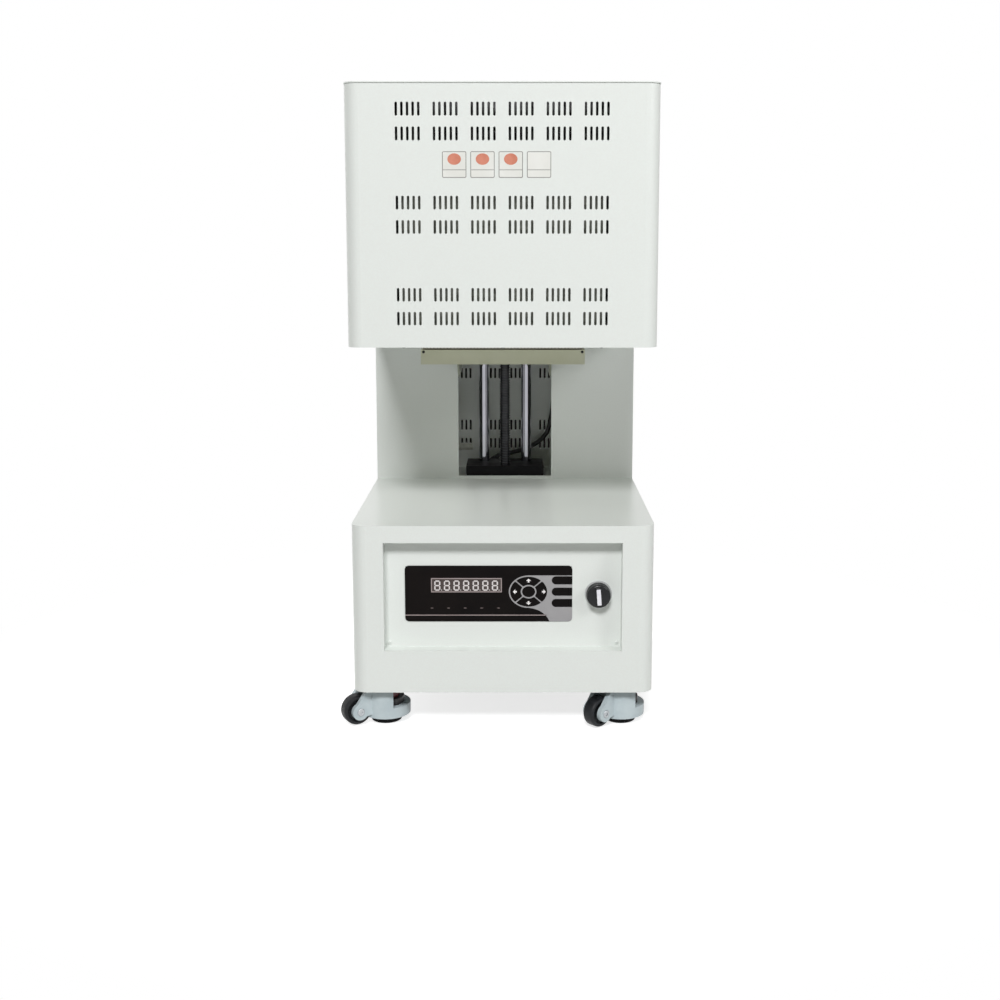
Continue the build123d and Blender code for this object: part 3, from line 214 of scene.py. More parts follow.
def drift_tone(tree, shader, in_mm, patch, first, second, gloss=None, detail=3.0):
    """Soft patches of one size in mm between two colours, and between two levels of gloss."""
    clouds = add_node(tree, "ShaderNodeTexNoise", {"Vector": in_mm, "Scale": 1 / patch, "Detail": detail})
    spread = add_node(tree, "ShaderNodeMapRange", {"Value": clouds.outputs["Fac"], "From Min": 0.3,
                      "From Max": 0.7}, interpolation_type="SMOOTHSTEP")
    two_tone(tree, shader, spread.outputs[0], first, second)
    if gloss:
        sheen = add_node(tree, "ShaderNodeMapRange", {"Value": spread.outputs[0], "To Min": gloss[0],
                         "To Max": gloss[1]})
        tree.links.new(sheen.outputs[0], shader.inputs["Roughness"])


def make_finish(name, colour, roughness, drift, grain=None, metallic=0.0, specular=0.5, nodes=()):
    """A material with a drift of tone and gloss and a grain of a size and depth, on the CAD nodes named."""
    finish, tree, shader, in_mm = new_finish(name, colour, roughness, metallic)
    shader.inputs["Specular IOR Level"].default_value = specular
    if grain:
        grain_surface(tree, shader, in_mm, *grain)
    drift_tone(tree, shader, in_mm, *drift)
    finish_nodes(finish, *nodes)
    return finish


def finish_nodes(finish, *names):
    """Gives CAD nodes that show as they are their finish."""
    for name in names:
        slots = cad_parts[name].data.materials
        slots.clear()
        slots.append(finish)


def turn(shape, profile, place=Matrix(), sides=48):
    """Adds a turned body to a shape from (radius, height) pairs in mm, going up round its outside.
    A profile that starts away from the middle is a ring, and closes on itself."""
    rings = []
    for radius, height in profile:
        spots = sides if radius > 0 else 1
        rings.append([shape.verts.new(place @ Vector((radius * math.cos(math.tau * spot / sides),
                      radius * math.sin(math.tau * spot / sides), height))) for spot in range(spots)])
    if profile[0][0] > 0:
        rings.append(rings[0])
    for lower, upper in zip(rings, rings[1:]):
        for spot in range(sides):
            after = (spot + 1) % sides
            corners = [lower[spot % len(lower)], lower[after % len(lower)], upper[after % len(upper)],
                       upper[spot % len(upper)]]
            shape.faces.new(list(dict.fromkeys(corners)))
    return shape


def block(shape, low, high, place=Matrix(), soft=0.0, steps=2):
    """Adds a box between two corners in mm, its edges rounded by soft."""
    centre = [(near + far) / 2 for near, far in zip(low, high)]
    size = [far - near for near, far in zip(low, high)]
    box = bmesh.new()
    bmesh.ops.create_cube(box, size=1)
    box.transform(place @ Matrix.Translation(centre) @ Matrix.Diagonal((*size, 1)))
    if soft:
        bmesh.ops.bevel(box, geom=box.edges[:], offset=soft, segments=steps, profile=0.5, affect="EDGES")
    carrier = bake_shape("carrier", box)
    shape.from_mesh(carrier)
    bpy.data.meshes.remove(carrier)


def bake_shape(name, shape):
    """Turns a shape into a plain mesh."""
    mesh = bpy.data.meshes.new(name)
    shape.to_mesh(mesh)
    shape.free()
    return mesh


def hand_over(name, shape, finish, body, slot, *stands_for, crease=32):
    """Makes a shape drawn in mm into a finished piece that rides a body, in place of the CAD nodes named."""
    if isinstance(shape, bpy.types.Mesh):
        mesh = shape
        mesh.name = name
    else:
        mesh = bake_shape(name, shape)
    mesh.transform(Matrix.Scale(mm, 4))
    mesh.materials.clear()
    mesh.materials.append(finish)
    mesh.shade_smooth()
    mesh.set_sharp_from_angle(angle=math.radians(crease))
    piece = bpy.data.objects.new(name, mesh)
    scene.collection.objects.link(piece)
    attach(piece, body)
    if stands_for:
        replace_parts(piece, *stands_for)
    return piece


# Sprayed zinc casting: a satin blue-grey with the slight pebbling of the die
casting_paint = make_finish("painted_zinc_casting", "#B9C6CA", 0.42, (22, "#B4C1C5", "#C0CCCF", (0.36, 0.5)),
                            (1.1, 0.05))

# Bright zinc plating: a grey metal with cloudy patches
zinc_plating = make_finish("zinc_plated_steel", "#A9ACAE", 0.36, (14, "#9FA3A6", "#B7BABC", (0.28, 0.46)),
                           (0.8, 0.01), metallic=1.0)

# Moulded nylon: black, barely glossy, with fine dust in its tread
wheel_nylon = make_finish("moulded_nylon", "#15171A", 0.45, (9, "#131517", "#1C1E21", (0.38, 0.58)),
                          (0.7, 0.04), specular=0.25)

# Moulded rubber: a matt black with a soft, slightly dusty face
foot_rubber = make_finish("moulded_rubber", "#131415", 0.72, (12, "#111213", "#191A1B", (0.62, 0.82)),
                          (0.9, 0.05), specular=0.2)

# Two-part acetal dial: a black knurled ring under a dark red collar
collar_height = 42.35
dial_acetal, tree, shader, in_mm = new_finish("two_colour_acetal", "#5A1E22", 0.38)
height_split = add_node(tree, "ShaderNodeSeparateXYZ", {0: in_mm})
is_collar = add_node(tree, "ShaderNodeMath", {0: height_split.outputs[2], 1: collar_height},
                     operation="GREATER_THAN")
two_tone(tree, shader, is_collar.outputs[0], "#141416", "#6A2226")
grain_surface(tree, shader, in_mm, 0.6, 0.02)

wheel_trail, wheel_height = 56, 27
wheel_profile = [(0, -9.2), (6, -9.2), (7, -8.4), (7, -7.2), (17, -6.8), (18.4, -8), (19, -10.6), (20, -11),
                 (21.6, -11), (23.6, -10), (24.7, -8.2), (25, -6)]
wheel_profile += [(radius, -height) for radius, height in reversed(wheel_profile)]
pad_profile = [(0, 0), (24, 0), (25.4, 0.6), (26, 2), (26, 3.2), (25.2, 3.7), (25.2, 4.6), (26, 5.1), (26, 6.6),
               (25.2, 7.1), (25.2, 8), (25.8, 8.6), (25.6, 10), (24.6, 10.8), (12, 11), (10, 12), (8, 12.3),
               (0, 12.3)]
stem_foot, rings_foot, stem_top = 12, 14.5, 61
stem_root, stem_crest, stem_pitch = 5.2, 6, 1.75
stem_profile = [(0, stem_foot), (stem_root, stem_foot)]
stem_rings = int((stem_top - rings_foot) / stem_pitch)
for ring in range(stem_rings):
    stem_profile += [(stem_root, rings_foot + ring * stem_pitch),
                     (stem_crest, rings_foot + (ring + 0.5) * stem_pitch)]
stem_profile += [(stem_root, rings_foot + stem_rings * stem_pitch), (0, stem_top)]
spoke_count, spoke_low, spoke_high = 5, (6.5, -1.3, -8.8), (17.6, 1.3, 8.8)
axle_head_out = 19.9
axle_head_profile = [(0, 0), (6.2, 0), (6.6, 0.5), (6.2, 1.5), (5.6, 1.9), (2.7, 1.9), (2.4, 0.7), (0, 0.7)]
caster_spots = {"fl": (-200, -223, 210), "fr": (200, -223, 223), "rl": (-200, 223, 20), "rr": (200, 223, 30)}

for corner, (spot_x, spot_y, heading) in caster_spots.items():
    stance = Matrix.Translation((spot_x, spot_y, 0)) @ Matrix.Rotation(math.radians(heading), 4, "Z")
    axle = stance @ Matrix.Translation((wheel_trail, 0, wheel_height)) @ Matrix.Rotation(
        math.radians(-90), 4, "X")
    wheel = turn(bmesh.new(), wheel_profile, axle, 64)
    for spoke in range(spoke_count):
        spun = axle @ Matrix.Rotation(math.tau * spoke / spoke_count, 4, "Z")
        block(wheel, spoke_low, spoke_high, spun, soft=0.5, steps=1)
    hand_over("wheel_" + corner, wheel, wheel_nylon, "caster_wheel_" + corner, "wheel_nylon",
              "caster_wheel_" + corner)
    pins = bmesh.new()
    for side in (-1, 1):
        head = axle @ Matrix.Translation((0, 0, side * axle_head_out)) @ Matrix.Rotation(
            0 if side > 0 else math.pi, 4, "X")
        turn(pins, axle_head_profile, head, 24)
    hand_over("axle_heads_" + corner, pins, zinc_plating, "caster_body_" + corner, "caster_zinc")
    pad = turn(bmesh.new(), pad_profile, stance, 64)
    hand_over("rubber_foot_" + corner, pad, foot_rubber, "caster_foot_" + corner, "foot_rubber",
              "caster_foot_" + corner)
    stem = turn(bmesh.new(), stem_profile, stance, 32)
    hand_over("foot_stem_" + corner, stem, zinc_plating, "caster_foot_" + corner, "caster_zinc")
    finish_nodes(casting_paint, "caster_body_" + corner)
    finish_nodes(dial_acetal, "caster_dial_" + corner)
finish_nodes(zinc_plating, "caster_plates")

# The painted housing
# Folded 1.5 mm steel sheets: the lower box with its deck and floor pan, the column round the bay, the upper
# box with its lid, and the back cover. All are sprayed in one white powder coat and stoved.
# Powder coat shows a faint orange peel about 2 mm across, and a soft sheen that varies by a trace.
housing_coat = make_finish("white_powder_coat", "#DFE4E0", 0.28, (3, "#DFE3DF", "#E0E5E1", (0.275, 0.285), 2.0),
                           (2.2, 0.02), specular=0.6)
finish_nodes(housing_coat, "base_casing", "base_deck", "column_casing", "upper_casing", "top_cover",
             "rear_cover", "control_panel", "upper_bottom_plate")

# The frame tubes and the floor pan hide inside, in a plain matt grey coat
make_finish("grey_powder_coat", "#8E918F", 0.55, (90, "#898C8A", "#949795", (0.5, 0.62)), (2.2, 0.04),
            nodes=["inner_frame", "base_floor"])

# The recessed control panel
# A black printed keypad film carries a display window, an oval of four arrow keys and three side keys. It
# sits on the controller, which is clamped behind the white tray, with a rotary switch beside it.
def on_front(depth):
    """Stands a flat drawing up on the front of the furnace, at a depth in mm."""
    return Matrix.Translation((0, depth, 0)) @ Matrix.Rotation(math.radians(90), 4, "X")


def stamp(outlines, low, high, place, soft=0.0):
    """A flat piece cut from outlines in mm, between two heights. An outline inside another is a hole."""
    drawing = bpy.data.curves.new("drawing", "CURVE")
    drawing.dimensions = "2D"
    drawing.fill_mode = "BOTH"
    drawing.extrude = (high - low) / 2 - soft
    drawing.bevel_depth = soft
    drawing.offset = -soft
    for outline in outlines:
        line = drawing.splines.new("POLY")
        line.points.add(len(outline) - 1)
        for point, (across, up) in zip(line.points, outline):
            point.co = (across, up, 0, 1)
        line.use_cyclic_u = True
    holder = bpy.data.objects.new("drawing", drawing)
    scene.collection.objects.link(holder)
    shape = bmesh.new()
    flat = bpy.data.meshes.new_from_object(holder)
    shape.from_mesh(flat)
    bpy.data.meshes.remove(flat)
    bpy.data.objects.remove(holder)
    bpy.data.curves.remove(drawing)
    bmesh.ops.remove_doubles(shape, verts=shape.verts[:], dist=0.002)
    shape.transform(place @ Matrix.Translation((0, 0, (low + high) / 2)))
    return shape


def print_on(name, outlines, face, finish, body, slot):
    """Ink inside the outlines, on a face at a depth in mm."""
    hand_over(name, stamp(outlines, 0, ink, on_front(face)), finish, body, slot)


def oval(centre, half_width, half_height, start=0, end=360, steps=72):
    """Points along an ellipse between two angles in degrees, without the closing one on a full turn."""
    count = steps if end - start == 360 else steps + 1
    turns = [math.radians(start + (end - start) * step / steps) for step in range(count)]
    return [(centre[0] + half_width * math.cos(turn_by), centre[1] + half_height * math.sin(turn_by))
            for turn_by in turns]


def rounded_box(centre, width, height, radius, steps=6):
    """Points round a rectangle with rounded corners."""
    points = []
    for quarter, (side, end) in enumerate(((1, 1), (-1, 1), (-1, -1), (1, -1))):
        corner = (centre[0] + side * (width / 2 - radius), centre[1] + end * (height / 2 - radius))
        points += oval(corner, radius, radius, quarter * 90, quarter * 90 + 90, steps)
    return points


def blunt(outline, spacing=0.55, passes=9):
    """Rounds the corners of an outline by sliding evenly spaced points towards their neighbours."""
    spots = [Vector(point) for point in outline]
    lengths = [(after - before).length for before, after in zip(spots, spots[1:] + spots[:1])]
    total = int(sum(lengths) / spacing)
    even, walked, leg = [], 0.0, 0
    for count in range(total):
        aim = count * sum(lengths) / total
        while walked + lengths[leg] < aim:
            walked += lengths[leg]
            leg += 1
        before, after = spots[leg], spots[(leg + 1) % len(spots)]
        even.append(before.lerp(after, (aim - walked) / max(lengths[leg], 1e-9)))
    for _ in range(passes):
        even = [(even[count - 1] + even[count] * 2 + even[(count + 1) % total]) / 4 for count in range(total)]
    return [tuple(point) for point in even]


# Screen-printed polyester film: near black, with a fine satin grain that catches a little light
key_film = make_finish("printed_polyester_film", "#0D0A09", 0.4, (45, "#0B0808", "#100C0B", (0.36, 0.46)),
                       (0.5, 0.006), specular=0.07, nodes=["keypad_overlay"])

# Opaque inks on the film: warm greys and white, slightly raised
grey_ink = make_finish("grey_screen_ink", "#989798", 0.5, (60, "#949395", "#9D9C9D"), (0.4, 0.004))
line_ink = make_finish("rose_grey_screen_ink", "#968988", 0.5, (40, "#918483", "#9C908F"))
white_ink = make_finish("white_screen_ink", "#ECE9E8", 0.5, (8, "#E4E0E0", "#F2F0EF"))
dim_lamp = make_finish("unlit_lamp_lens", "#5E5250", 0.3, (2, "#56494A", "#6A5E5C"))

# Tinted display lens: a smooth smoky grey-brown sheet
make_finish("smoked_acrylic_lens", "#463D3B", 0.2, (30, "#433A38", "#4A413F", (0.16, 0.24)), specular=0.3,
            nodes=["display_window"])

overlay_face, key_face, key_back, key_edge = -256.2, -256.6, -254.8, 0.25
ink = 0.05
cluster = (42.7, 232.4)
cluster_half = (33, 27.8)
cluster_rim, key_band, key_gap = 2.4, 2.6, 0.25
oval_half = (10.8, 9.4)
overlay_right, overlay_foot, overlay_corner = 115.5, 181.3, 7
side_key_left, side_key_right, side_key_height = 81.5, 111.5, 13.4
side_key_places = {"key_top": 251.8, "key_middle": 232.4, "key_bottom": 213.0}
arrow_turns = {"right": 0, "up": 90, "left": 180, "down": 270}


def arrow_key(direction, grow):
    """The outline of one arrow key of the oval, grown all round."""
    middle = arrow_turns[direction]
    to_side, to_top = round(math.cos(math.radians(middle))), round(math.sin(math.radians(middle)))
    slope = cluster_half[1] / cluster_half[0]
    start = (key_band / 2 - grow) / slope
    edge = []
    for half, rim in ((cluster_half, grow - cluster_rim), (oval_half, key_band - grow)):
        kept = []
        for across, up in oval((0, 0), half[0] + rim, half[1] + rim, middle - 90, middle + 90, 720):
            along, aside = across * to_side + up * to_top, abs(across * to_top + up * to_side)
            if aside <= slope * (along - start) if to_side else aside * slope <= along - start:
                kept.append((across + cluster[0], up + cluster[1]))
        edge.append(kept)
    return blunt(edge[0] + edge[1][::-1])


def side_key(height, grow):
    """The outline of one side key with its round left end, grown all round."""
    radius = side_key_height / 2 + grow
    end = oval((side_key_left + side_key_height / 2, height), radius, radius, 90, 270, 24)
    return [(side_key_right + grow, height + radius), *end, (side_key_right + grow, height - radius)]


def arrow_mark(direction, out):
    """A short printed arrow that lies on its key, pointing away from the middle of the oval."""
    flat = [(-2.8, -1.4), (-0.2, -1.4), (-0.2, -4.2), (3.7, 0), (-0.2, 4.2), (-0.2, 1.4), (-2.8, 1.4)]
    middle = math.radians(arrow_turns[direction])
    return [(cluster[0] + (out + along) * math.cos(middle) - aside * math.sin(middle),
             cluster[1] + (out + along) * math.sin(middle) + aside * math.cos(middle)) for along, aside in flat]


arrow_reach = {"right": 25, "up": 18.7, "left": 22.4, "down": 18.9}
for direction, reach in arrow_reach.items():
    cap = stamp([arrow_key(direction, 0)], 0, key_back - key_face, on_front(key_back), key_edge)
    hand_over("arrow_key_" + direction, cap, key_film, "key_" + direction, "key_film", "key_" + direction)
    print_on("arrow_mark_" + direction, [arrow_mark(direction, reach)], key_face, white_ink, "key_" + direction,
             "key_film")
for node, height in side_key_places.items():
    cap = stamp([side_key(height, 0)], 0, key_back - key_face, on_front(key_back), key_edge)
    hand_over("side_" + node, cap, key_film, node, "key_film", node)

cluster_print = [(cluster[0], cluster[1] + cluster_half[1])]
for height in side_key_places.values():
    cluster_print += [(overlay_right, height + side_key_height / 2 + key_gap),
                      *side_key(height, key_gap)[1:-1],
                      (overlay_right, height - side_key_height / 2 - key_gap)]
cluster_print += oval((overlay_right - overlay_corner, overlay_foot + overlay_corner), overlay_corner,
                      overlay_corner, 360, 270, 8)
sweep_corners = ((77.7, 181.3), (71.5, 196.5), (57.5, 203.0), (cluster[0], cluster[1] - cluster_half[1]))
sweep_steps = 12
for step in range(sweep_steps + 1):
    part = step / sweep_steps
    weights = ((1 - part) ** 3, 3 * part * (1 - part) ** 2, 3 * part ** 2 * (1 - part), part ** 3)
    cluster_print.append(tuple(sum(weight * corner[axis] for weight, corner in zip(weights, sweep_corners))
                               for axis in (0, 1)))
cluster_print += oval(cluster, *cluster_half, 270, 90, 36)[1:-1]
cluster_print[1:1] = [(overlay_right, cluster[1] + cluster_half[1])]
holes = [arrow_key(direction, key_gap) for direction in arrow_turns] + [oval(cluster, *oval_half)]
print_on("grey_key_print", [cluster_print, *holes], overlay_face, grey_ink, "cabinet", "overlay_print")

overlay_left, line_height, line_thick, line_end = -163.3, 192.1, 1.5, 72.6
printed_line = [(overlay_left, line_height - line_thick / 2), (line_end, line_height - line_thick / 2),
                (line_end, line_height + line_thick / 2), (overlay_left, line_height + line_thick / 2)]
print_on("printed_line", [printed_line], overlay_face, line_ink, "cabinet", "overlay_print")
lamp_row, lamp_height, lamp_half = (-118.5, -91, -63, -35.5, -7.5), 204.3, (2.6, 0.8)
print_on("status_lamps", [oval((across, lamp_height), *lamp_half, steps=20) for across in lamp_row],
         overlay_face, dim_lamp, "cabinet", "overlay_print")

# The display: a printed frame and seven lit digits of seven bars each, on the face of the window
window_face = -255.9
window_centre, window_size = (-60.9, 243.4), (118.3, 24.7)
frame_outset, frame_inset = 0.3, 3.5
frame_outer = rounded_box(window_centre, window_size[0] - frame_outset, window_size[1] - frame_outset, 0.6)
frame_inner = rounded_box(window_centre, window_size[0] - frame_inset, window_size[1] - frame_inset, 0.4)
print_on("window_frame", [frame_outer, frame_inner], window_face, line_ink, "cabinet", "display_lens")

digit_glow = make_finish("lit_digit_bars", "#D8D2D1", 0.35, (5, "#D0CAC9", "#E0DBDA"))
digit_width, digit_height, digit_pitch, digit_count = 8.0, 15.4, 16.0, 7
bar_thick, bar_gap, bar_tip = 2.2, 0.35, 0.45
point_out, point_radius = 2.9, 0.8
first_digit, digits_drop = -109.4, 0.6


def bar(start, end):
    """One lit bar of a digit, with pointed ends."""
    along = (Vector(end) - Vector(start)).normalized()
    aside = Vector((-along.y, along.x)) * bar_thick / 2
    near, far = Vector(start) + along * bar_gap, Vector(end) - along * bar_gap
    tip = along * bar_thick * bar_tip
    return [tuple(point) for point in (near, near + tip + aside, far - tip + aside, far, far - tip - aside,
            near + tip - aside)]


left, right = -digit_width / 2, digit_width / 2
foot, waist, head = -digit_height / 2, 0, digit_height / 2
bars = [bar((left, level), (right, level)) for level in (foot, waist, head)]
bars += [bar((side, low), (side, high)) for low, high in ((foot, waist), (waist, head))
         for side in (left, right)]
bars.append(oval((right + point_out, foot), point_radius, point_radius, steps=12))
digit_place = on_front(window_face) @ Matrix.Translation((first_digit, window_centre[1] - digits_drop, 0))
digit_mesh = bake_shape("digit", stamp(bars, 0, ink, digit_place))


def new_builder(name, **inputs):
    """An empty Geometry Nodes tree with named inputs and one shape in and out."""
    tree = bpy.data.node_groups.new(name, "GeometryNodeTree")
    tree.interface.new_socket("Shape", in_out="INPUT", socket_type="NodeSocketGeometry")
    for label, kind in inputs.items():
        tree.interface.new_socket(label, in_out="INPUT", socket_type=kind)
    tree.interface.new_socket("Shape", in_out="OUTPUT", socket_type="NodeSocketGeometry")
    return tree, add_node(tree, "NodeGroupInput")


def end_builder(tree, shape, finish):
    """Makes what a builder has put together real, in its finish, and sends it out."""
    real = add_node(tree, "GeometryNodeRealizeInstances", {0: shape})
    done = add_node(tree, "GeometryNodeSetMaterial", {"Geometry": real.outputs[0], "Material": finish})
    add_node(tree, "NodeGroupOutput", {0: done.outputs[0]})


def build_mesh(tree, mesh, **values):
    """Runs a builder on a mesh with its inputs set, and returns the plain mesh."""
    maker = bpy.data.objects.new(tree.name, mesh)
    scene.collection.objects.link(maker)
    builder = maker.modifiers.new("builder", "NODES")
    builder.node_group = tree
    for socket in tree.interface.items_tree:
        if socket.in_out == "INPUT" and socket.name in values:
            builder[socket.identifier] = values[socket.name]
    made = bpy.data.meshes.new_from_object(maker.evaluated_get(bpy.context.evaluated_depsgraph_get()))
    maker.modifiers.clear()
    bpy.data.objects.remove(maker)
    return made


digit_tree, given = new_builder("digit_row", Count="NodeSocketInt", Pitch="NodeSocketFloat")
step_across = add_node(digit_tree, "ShaderNodeCombineXYZ", {"X": given.outputs["Pitch"]})
digit_places = add_node(digit_tree, "GeometryNodeMeshLine", {"Count": given.outputs["Count"],
                        "Offset": step_across.outputs[0]})
digit_row = add_node(digit_tree, "GeometryNodeInstanceOnPoints", {"Points": digit_places.outputs[0],
                     "Instance": given.outputs["Shape"]})
end_builder(digit_tree, digit_row.outputs[0], digit_glow)
digits = build_mesh(digit_tree, digit_mesh, Count=digit_count, Pitch=digit_pitch)
hand_over("display_digits", digits, digit_glow, "cabinet", "display_lens")

# Controller and switch bodies behind the tray: moulded black and grey plastic
moulded_black = make_finish("moulded_black_plastic", "#1B1B1D", 0.5, (30, "#19191B", "#212123", (0.42, 0.6)),
                            (0.8, 0.03))
moulded_grey = make_finish("moulded_grey_plastic", "#B4B6B6", 0.45, (30, "#AEB0B0", "#BABCBC", (0.4, 0.52)),
                           (0.8, 0.03))
finish_nodes(moulded_black, "controller_body")
finish_nodes(moulded_grey, "switch_body")

# The rotary switch knob: glossy black phenolic with a raised grip, an off-white inlay and a grey collar
knob_gloss = make_finish("black_phenolic", "#151618", 0.3, (14, "#131416", "#1A1B1D", (0.26, 0.36)),
                         (0.5, 0.003), specular=0.3)
inlay_white = make_finish("off_white_inlay", "#E6E6EC", 0.4, (6, "#DEDEE6", "#ECECF0"))
knob_seat, knob_lean = (159, -258.3, 228.5), 4
grip_low, grip_high = (-4.5, -16, 12), (4.5, 16, 20)
inlay_width, inlay_length, inlay_corner, inlay_thick = 6.8, 27, 0.8, 0.15
knob_place = Matrix.Translation(knob_seat) @ Matrix.Rotation(math.radians(90), 4, "X") @ Matrix.Rotation(
    math.radians(knob_lean), 4, "Z")
knob_profile = [(0, 0), (20.1, 0), (20.3, 0.4), (20.3, 2.2), (19.9, 3), (19.6, 13), (19.1, 14.4), (18.0, 15.5),
                (16.4, 16), (0, 16)]
knob = turn(bmesh.new(), knob_profile, knob_place, 96)
block(knob, grip_low, grip_high, knob_place, soft=0.9, steps=3)
hand_over("switch_knob", knob, knob_gloss, "power_knob", "knob_plastic", "power_knob")
inlay = stamp([rounded_box((0, 0), inlay_width, inlay_length, inlay_corner)], 0, inlay_thick,
              knob_place @ Matrix.Translation((0, 0, grip_high[2])))
hand_over("knob_inlay", inlay, inlay_white, "power_knob", "knob_plastic")

# The lift: column, guide rods, screw and carriage
# Two chromed rods and a black-oxide trapezoidal screw stand between clamped aluminium blocks. The carriage
# climbs them on ball bushings and carries the hearth tray on two arms through the column's slot.
make_finish("hard_chromed_steel", "#ABABB2", 0.08, (40, "#A6A6AD", "#B1B1B8", (0.06, 0.1)), metallic=1.0,
            nodes=["guide_rods"])

black_oxide = make_finish("black_oxide_steel", "#3C3C3E", 0.34, (10, "#363638", "#464648", (0.28, 0.46)),
                          (0.9, 0.02), metallic=1.0, nodes=["shaft_coupling"])

screw_y = 165
journal_low, thread_low, thread_high, screw_top = 304.5, 373.8, 751.7, 774
thread_pitch, thread_root, thread_crest = 5, 8.4, 10
journal_radius, top_radius, end_break = 8, 7, 0.6
ridge_root, ridge_crest = 3.2, 1.6
core = turn(bmesh.new(), [
    (0, journal_low), (journal_radius - end_break, journal_low), (journal_radius, journal_low + end_break),
    (journal_radius, thread_low), (thread_root, thread_low + 0.4), (thread_root, thread_high - 0.4),
    (top_radius, thread_high), (top_radius, screw_top - 0.8), (top_radius - 0.8, screw_top), (0, screw_top)],
    Matrix.Translation((0, screw_y, 0)), 32)
core_mesh = bake_shape("screw_core", core)
thread_inputs = "Turns", "Radius", "Length", "Foot", "Axis_Y", "Ridge_Depth", "Ridge_Root", "Ridge_Crest"
thread_tree, given = new_builder("screw_thread", **dict.fromkeys(thread_inputs, "NodeSocketFloat"))
helix = add_node(thread_tree, "GeometryNodeCurveSpiral", {"Resolution": 24, "Rotations": given.outputs["Turns"],
                 "Start Radius": given.outputs["Radius"], "End Radius": given.outputs["Radius"],
                 "Height": given.outputs["Length"]})
upright = add_node(thread_tree, "GeometryNodeSetCurveNormal", {"Curve": helix.outputs[0]}, mode="Z_UP")
ridge = add_node(thread_tree, "GeometryNodeCurvePrimitiveQuadrilateral", {
                 "Height": given.outputs["Ridge_Depth"], "Bottom Width": given.outputs["Ridge_Root"],
                 "Top Width": given.outputs["Ridge_Crest"], "Offset": 0.0}, mode="TRAPEZOID")
wound = add_node(thread_tree, "GeometryNodeCurveToMesh", {"Curve": upright.outputs[0],
                 "Profile Curve": ridge.outputs[0], "Fill Caps": True})
stand = add_node(thread_tree, "ShaderNodeCombineXYZ", {"Y": given.outputs["Axis_Y"],
                 "Z": given.outputs["Foot"]})
placed = add_node(thread_tree, "GeometryNodeTransform", {"Geometry": wound.outputs[0],
                  "Translation": stand.outputs[0]})
joined = add_node(thread_tree, "GeometryNodeJoinGeometry", {"Geometry": placed.outputs[0]})
thread_tree.links.new(given.outputs["Shape"], joined.inputs[0])
end_builder(thread_tree, joined.outputs[0], black_oxide)
ridge_depth = thread_crest - thread_root + 0.2
thread_length = thread_high - thread_low - thread_pitch
screw_mesh = build_mesh(thread_tree, core_mesh, Turns=thread_length / thread_pitch,
                        Radius=thread_crest - ridge_depth / 2, Length=float(thread_length),
                        Foot=thread_low + thread_pitch / 2, Axis_Y=float(screw_y), Ridge_Depth=ridge_depth,
                        Ridge_Root=ridge_root, Ridge_Crest=ridge_crest)
hand_over("threaded_screw", screw_mesh, black_oxide, "screw", "screw_steel", "lead_screw")

# Black anodised blocks, clear anodised bearings, a bronze nut, an enamelled motor and pale sensors. The hearth
# tray is sprayed ivory, and the carriage with its arms is a darker olive grey that is painted shade.
make_finish("black_anodised_aluminium", "#0B0B0C", 0.6, (24, "#09090A", "#0F0F10", (0.54, 0.68)), (0.6, 0.012),
            specular=0.12, nodes=["bearing_blocks"])
make_finish("clear_anodised_aluminium", "#B9BABC", 0.38, (20, "#B0B1B3", "#C2C3C5", (0.3, 0.46)), (0.5, 0.01),
            metallic=1.0, nodes=["linear_bearings"])
make_finish("turned_bronze", "#B48A50", 0.34, (12, "#A98048", "#BF965C", (0.28, 0.44)), (0.7, 0.012),
            metallic=1.0, nodes=["lead_nut"])
make_finish("dark_motor_enamel", "#3A3D40", 0.4, (35, "#36393C", "#404346", (0.34, 0.48)), (1.6, 0.04),
            nodes=["gear_motor", "power_unit"])
make_finish("pale_sensor_shell", "#EDEDE7", 0.3, (8, "#E8E8E1", "#F2F2EC", (0.24, 0.4)), (0.6, 0.01),
            nodes=["limit_sensors"])
make_finish("ivory_powder_coat", "#D0D2B8", 0.42, (80, "#CDCFB4", "#D4D6BE", (0.38, 0.48)), (2.2, 0.035),
            nodes=["carrier_tray"])
# The carriage and its arms: a darker olive grey that is painted shade for the bay they sit in
make_finish("olive_grey_powder_coat", "#8C8F80", 0.45, (70, "#888B7C", "#919485", (0.4, 0.5)), (2.2, 0.035),
            nodes=["lift_carriage"])

# The cables and their block
# Black silicone cables run up the column from the controller to the heaters and the sensors, held by
# nylon clips, and end in a ceramic terminal block beside the chamber.
silicone_sheath = make_finish("black_silicone_sheath", "#161617", 0.55,
                              (18, "#131314", "#1E1E1F", (0.46, 0.66)), (0.8, 0.03))
glazed_ceramic = make_finish("glazed_steatite", "#E4DFD2", 0.28, (16, "#DED8CA", "#E9E5DA", (0.22, 0.36)),
                             (1.2, 0.02))


def lay_cable(name, points, radius):
    """A cable on one smooth line through its route's points."""
    route = bpy.data.curves.new(name, "CURVE")
    route.dimensions = "3D"
    route.bevel_depth = radius
    route.bevel_resolution = 5
    route.use_fill_caps = True
    line = route.splines.new("NURBS")
    line.points.add(len(points) - 1)
    for spot, point in zip(line.points, points):
        spot.co = (*point, 1)
    line.order_u = 3
    line.use_endpoint_u = True
    line.resolution_u = 12
    holder = bpy.data.objects.new(name, route)
    scene.collection.objects.link(holder)
    tube = bpy.data.meshes.new_from_object(holder)
    bpy.data.objects.remove(holder)
    return hand_over(name, tube, silicone_sheath, "cabinet", "cable_sheath")


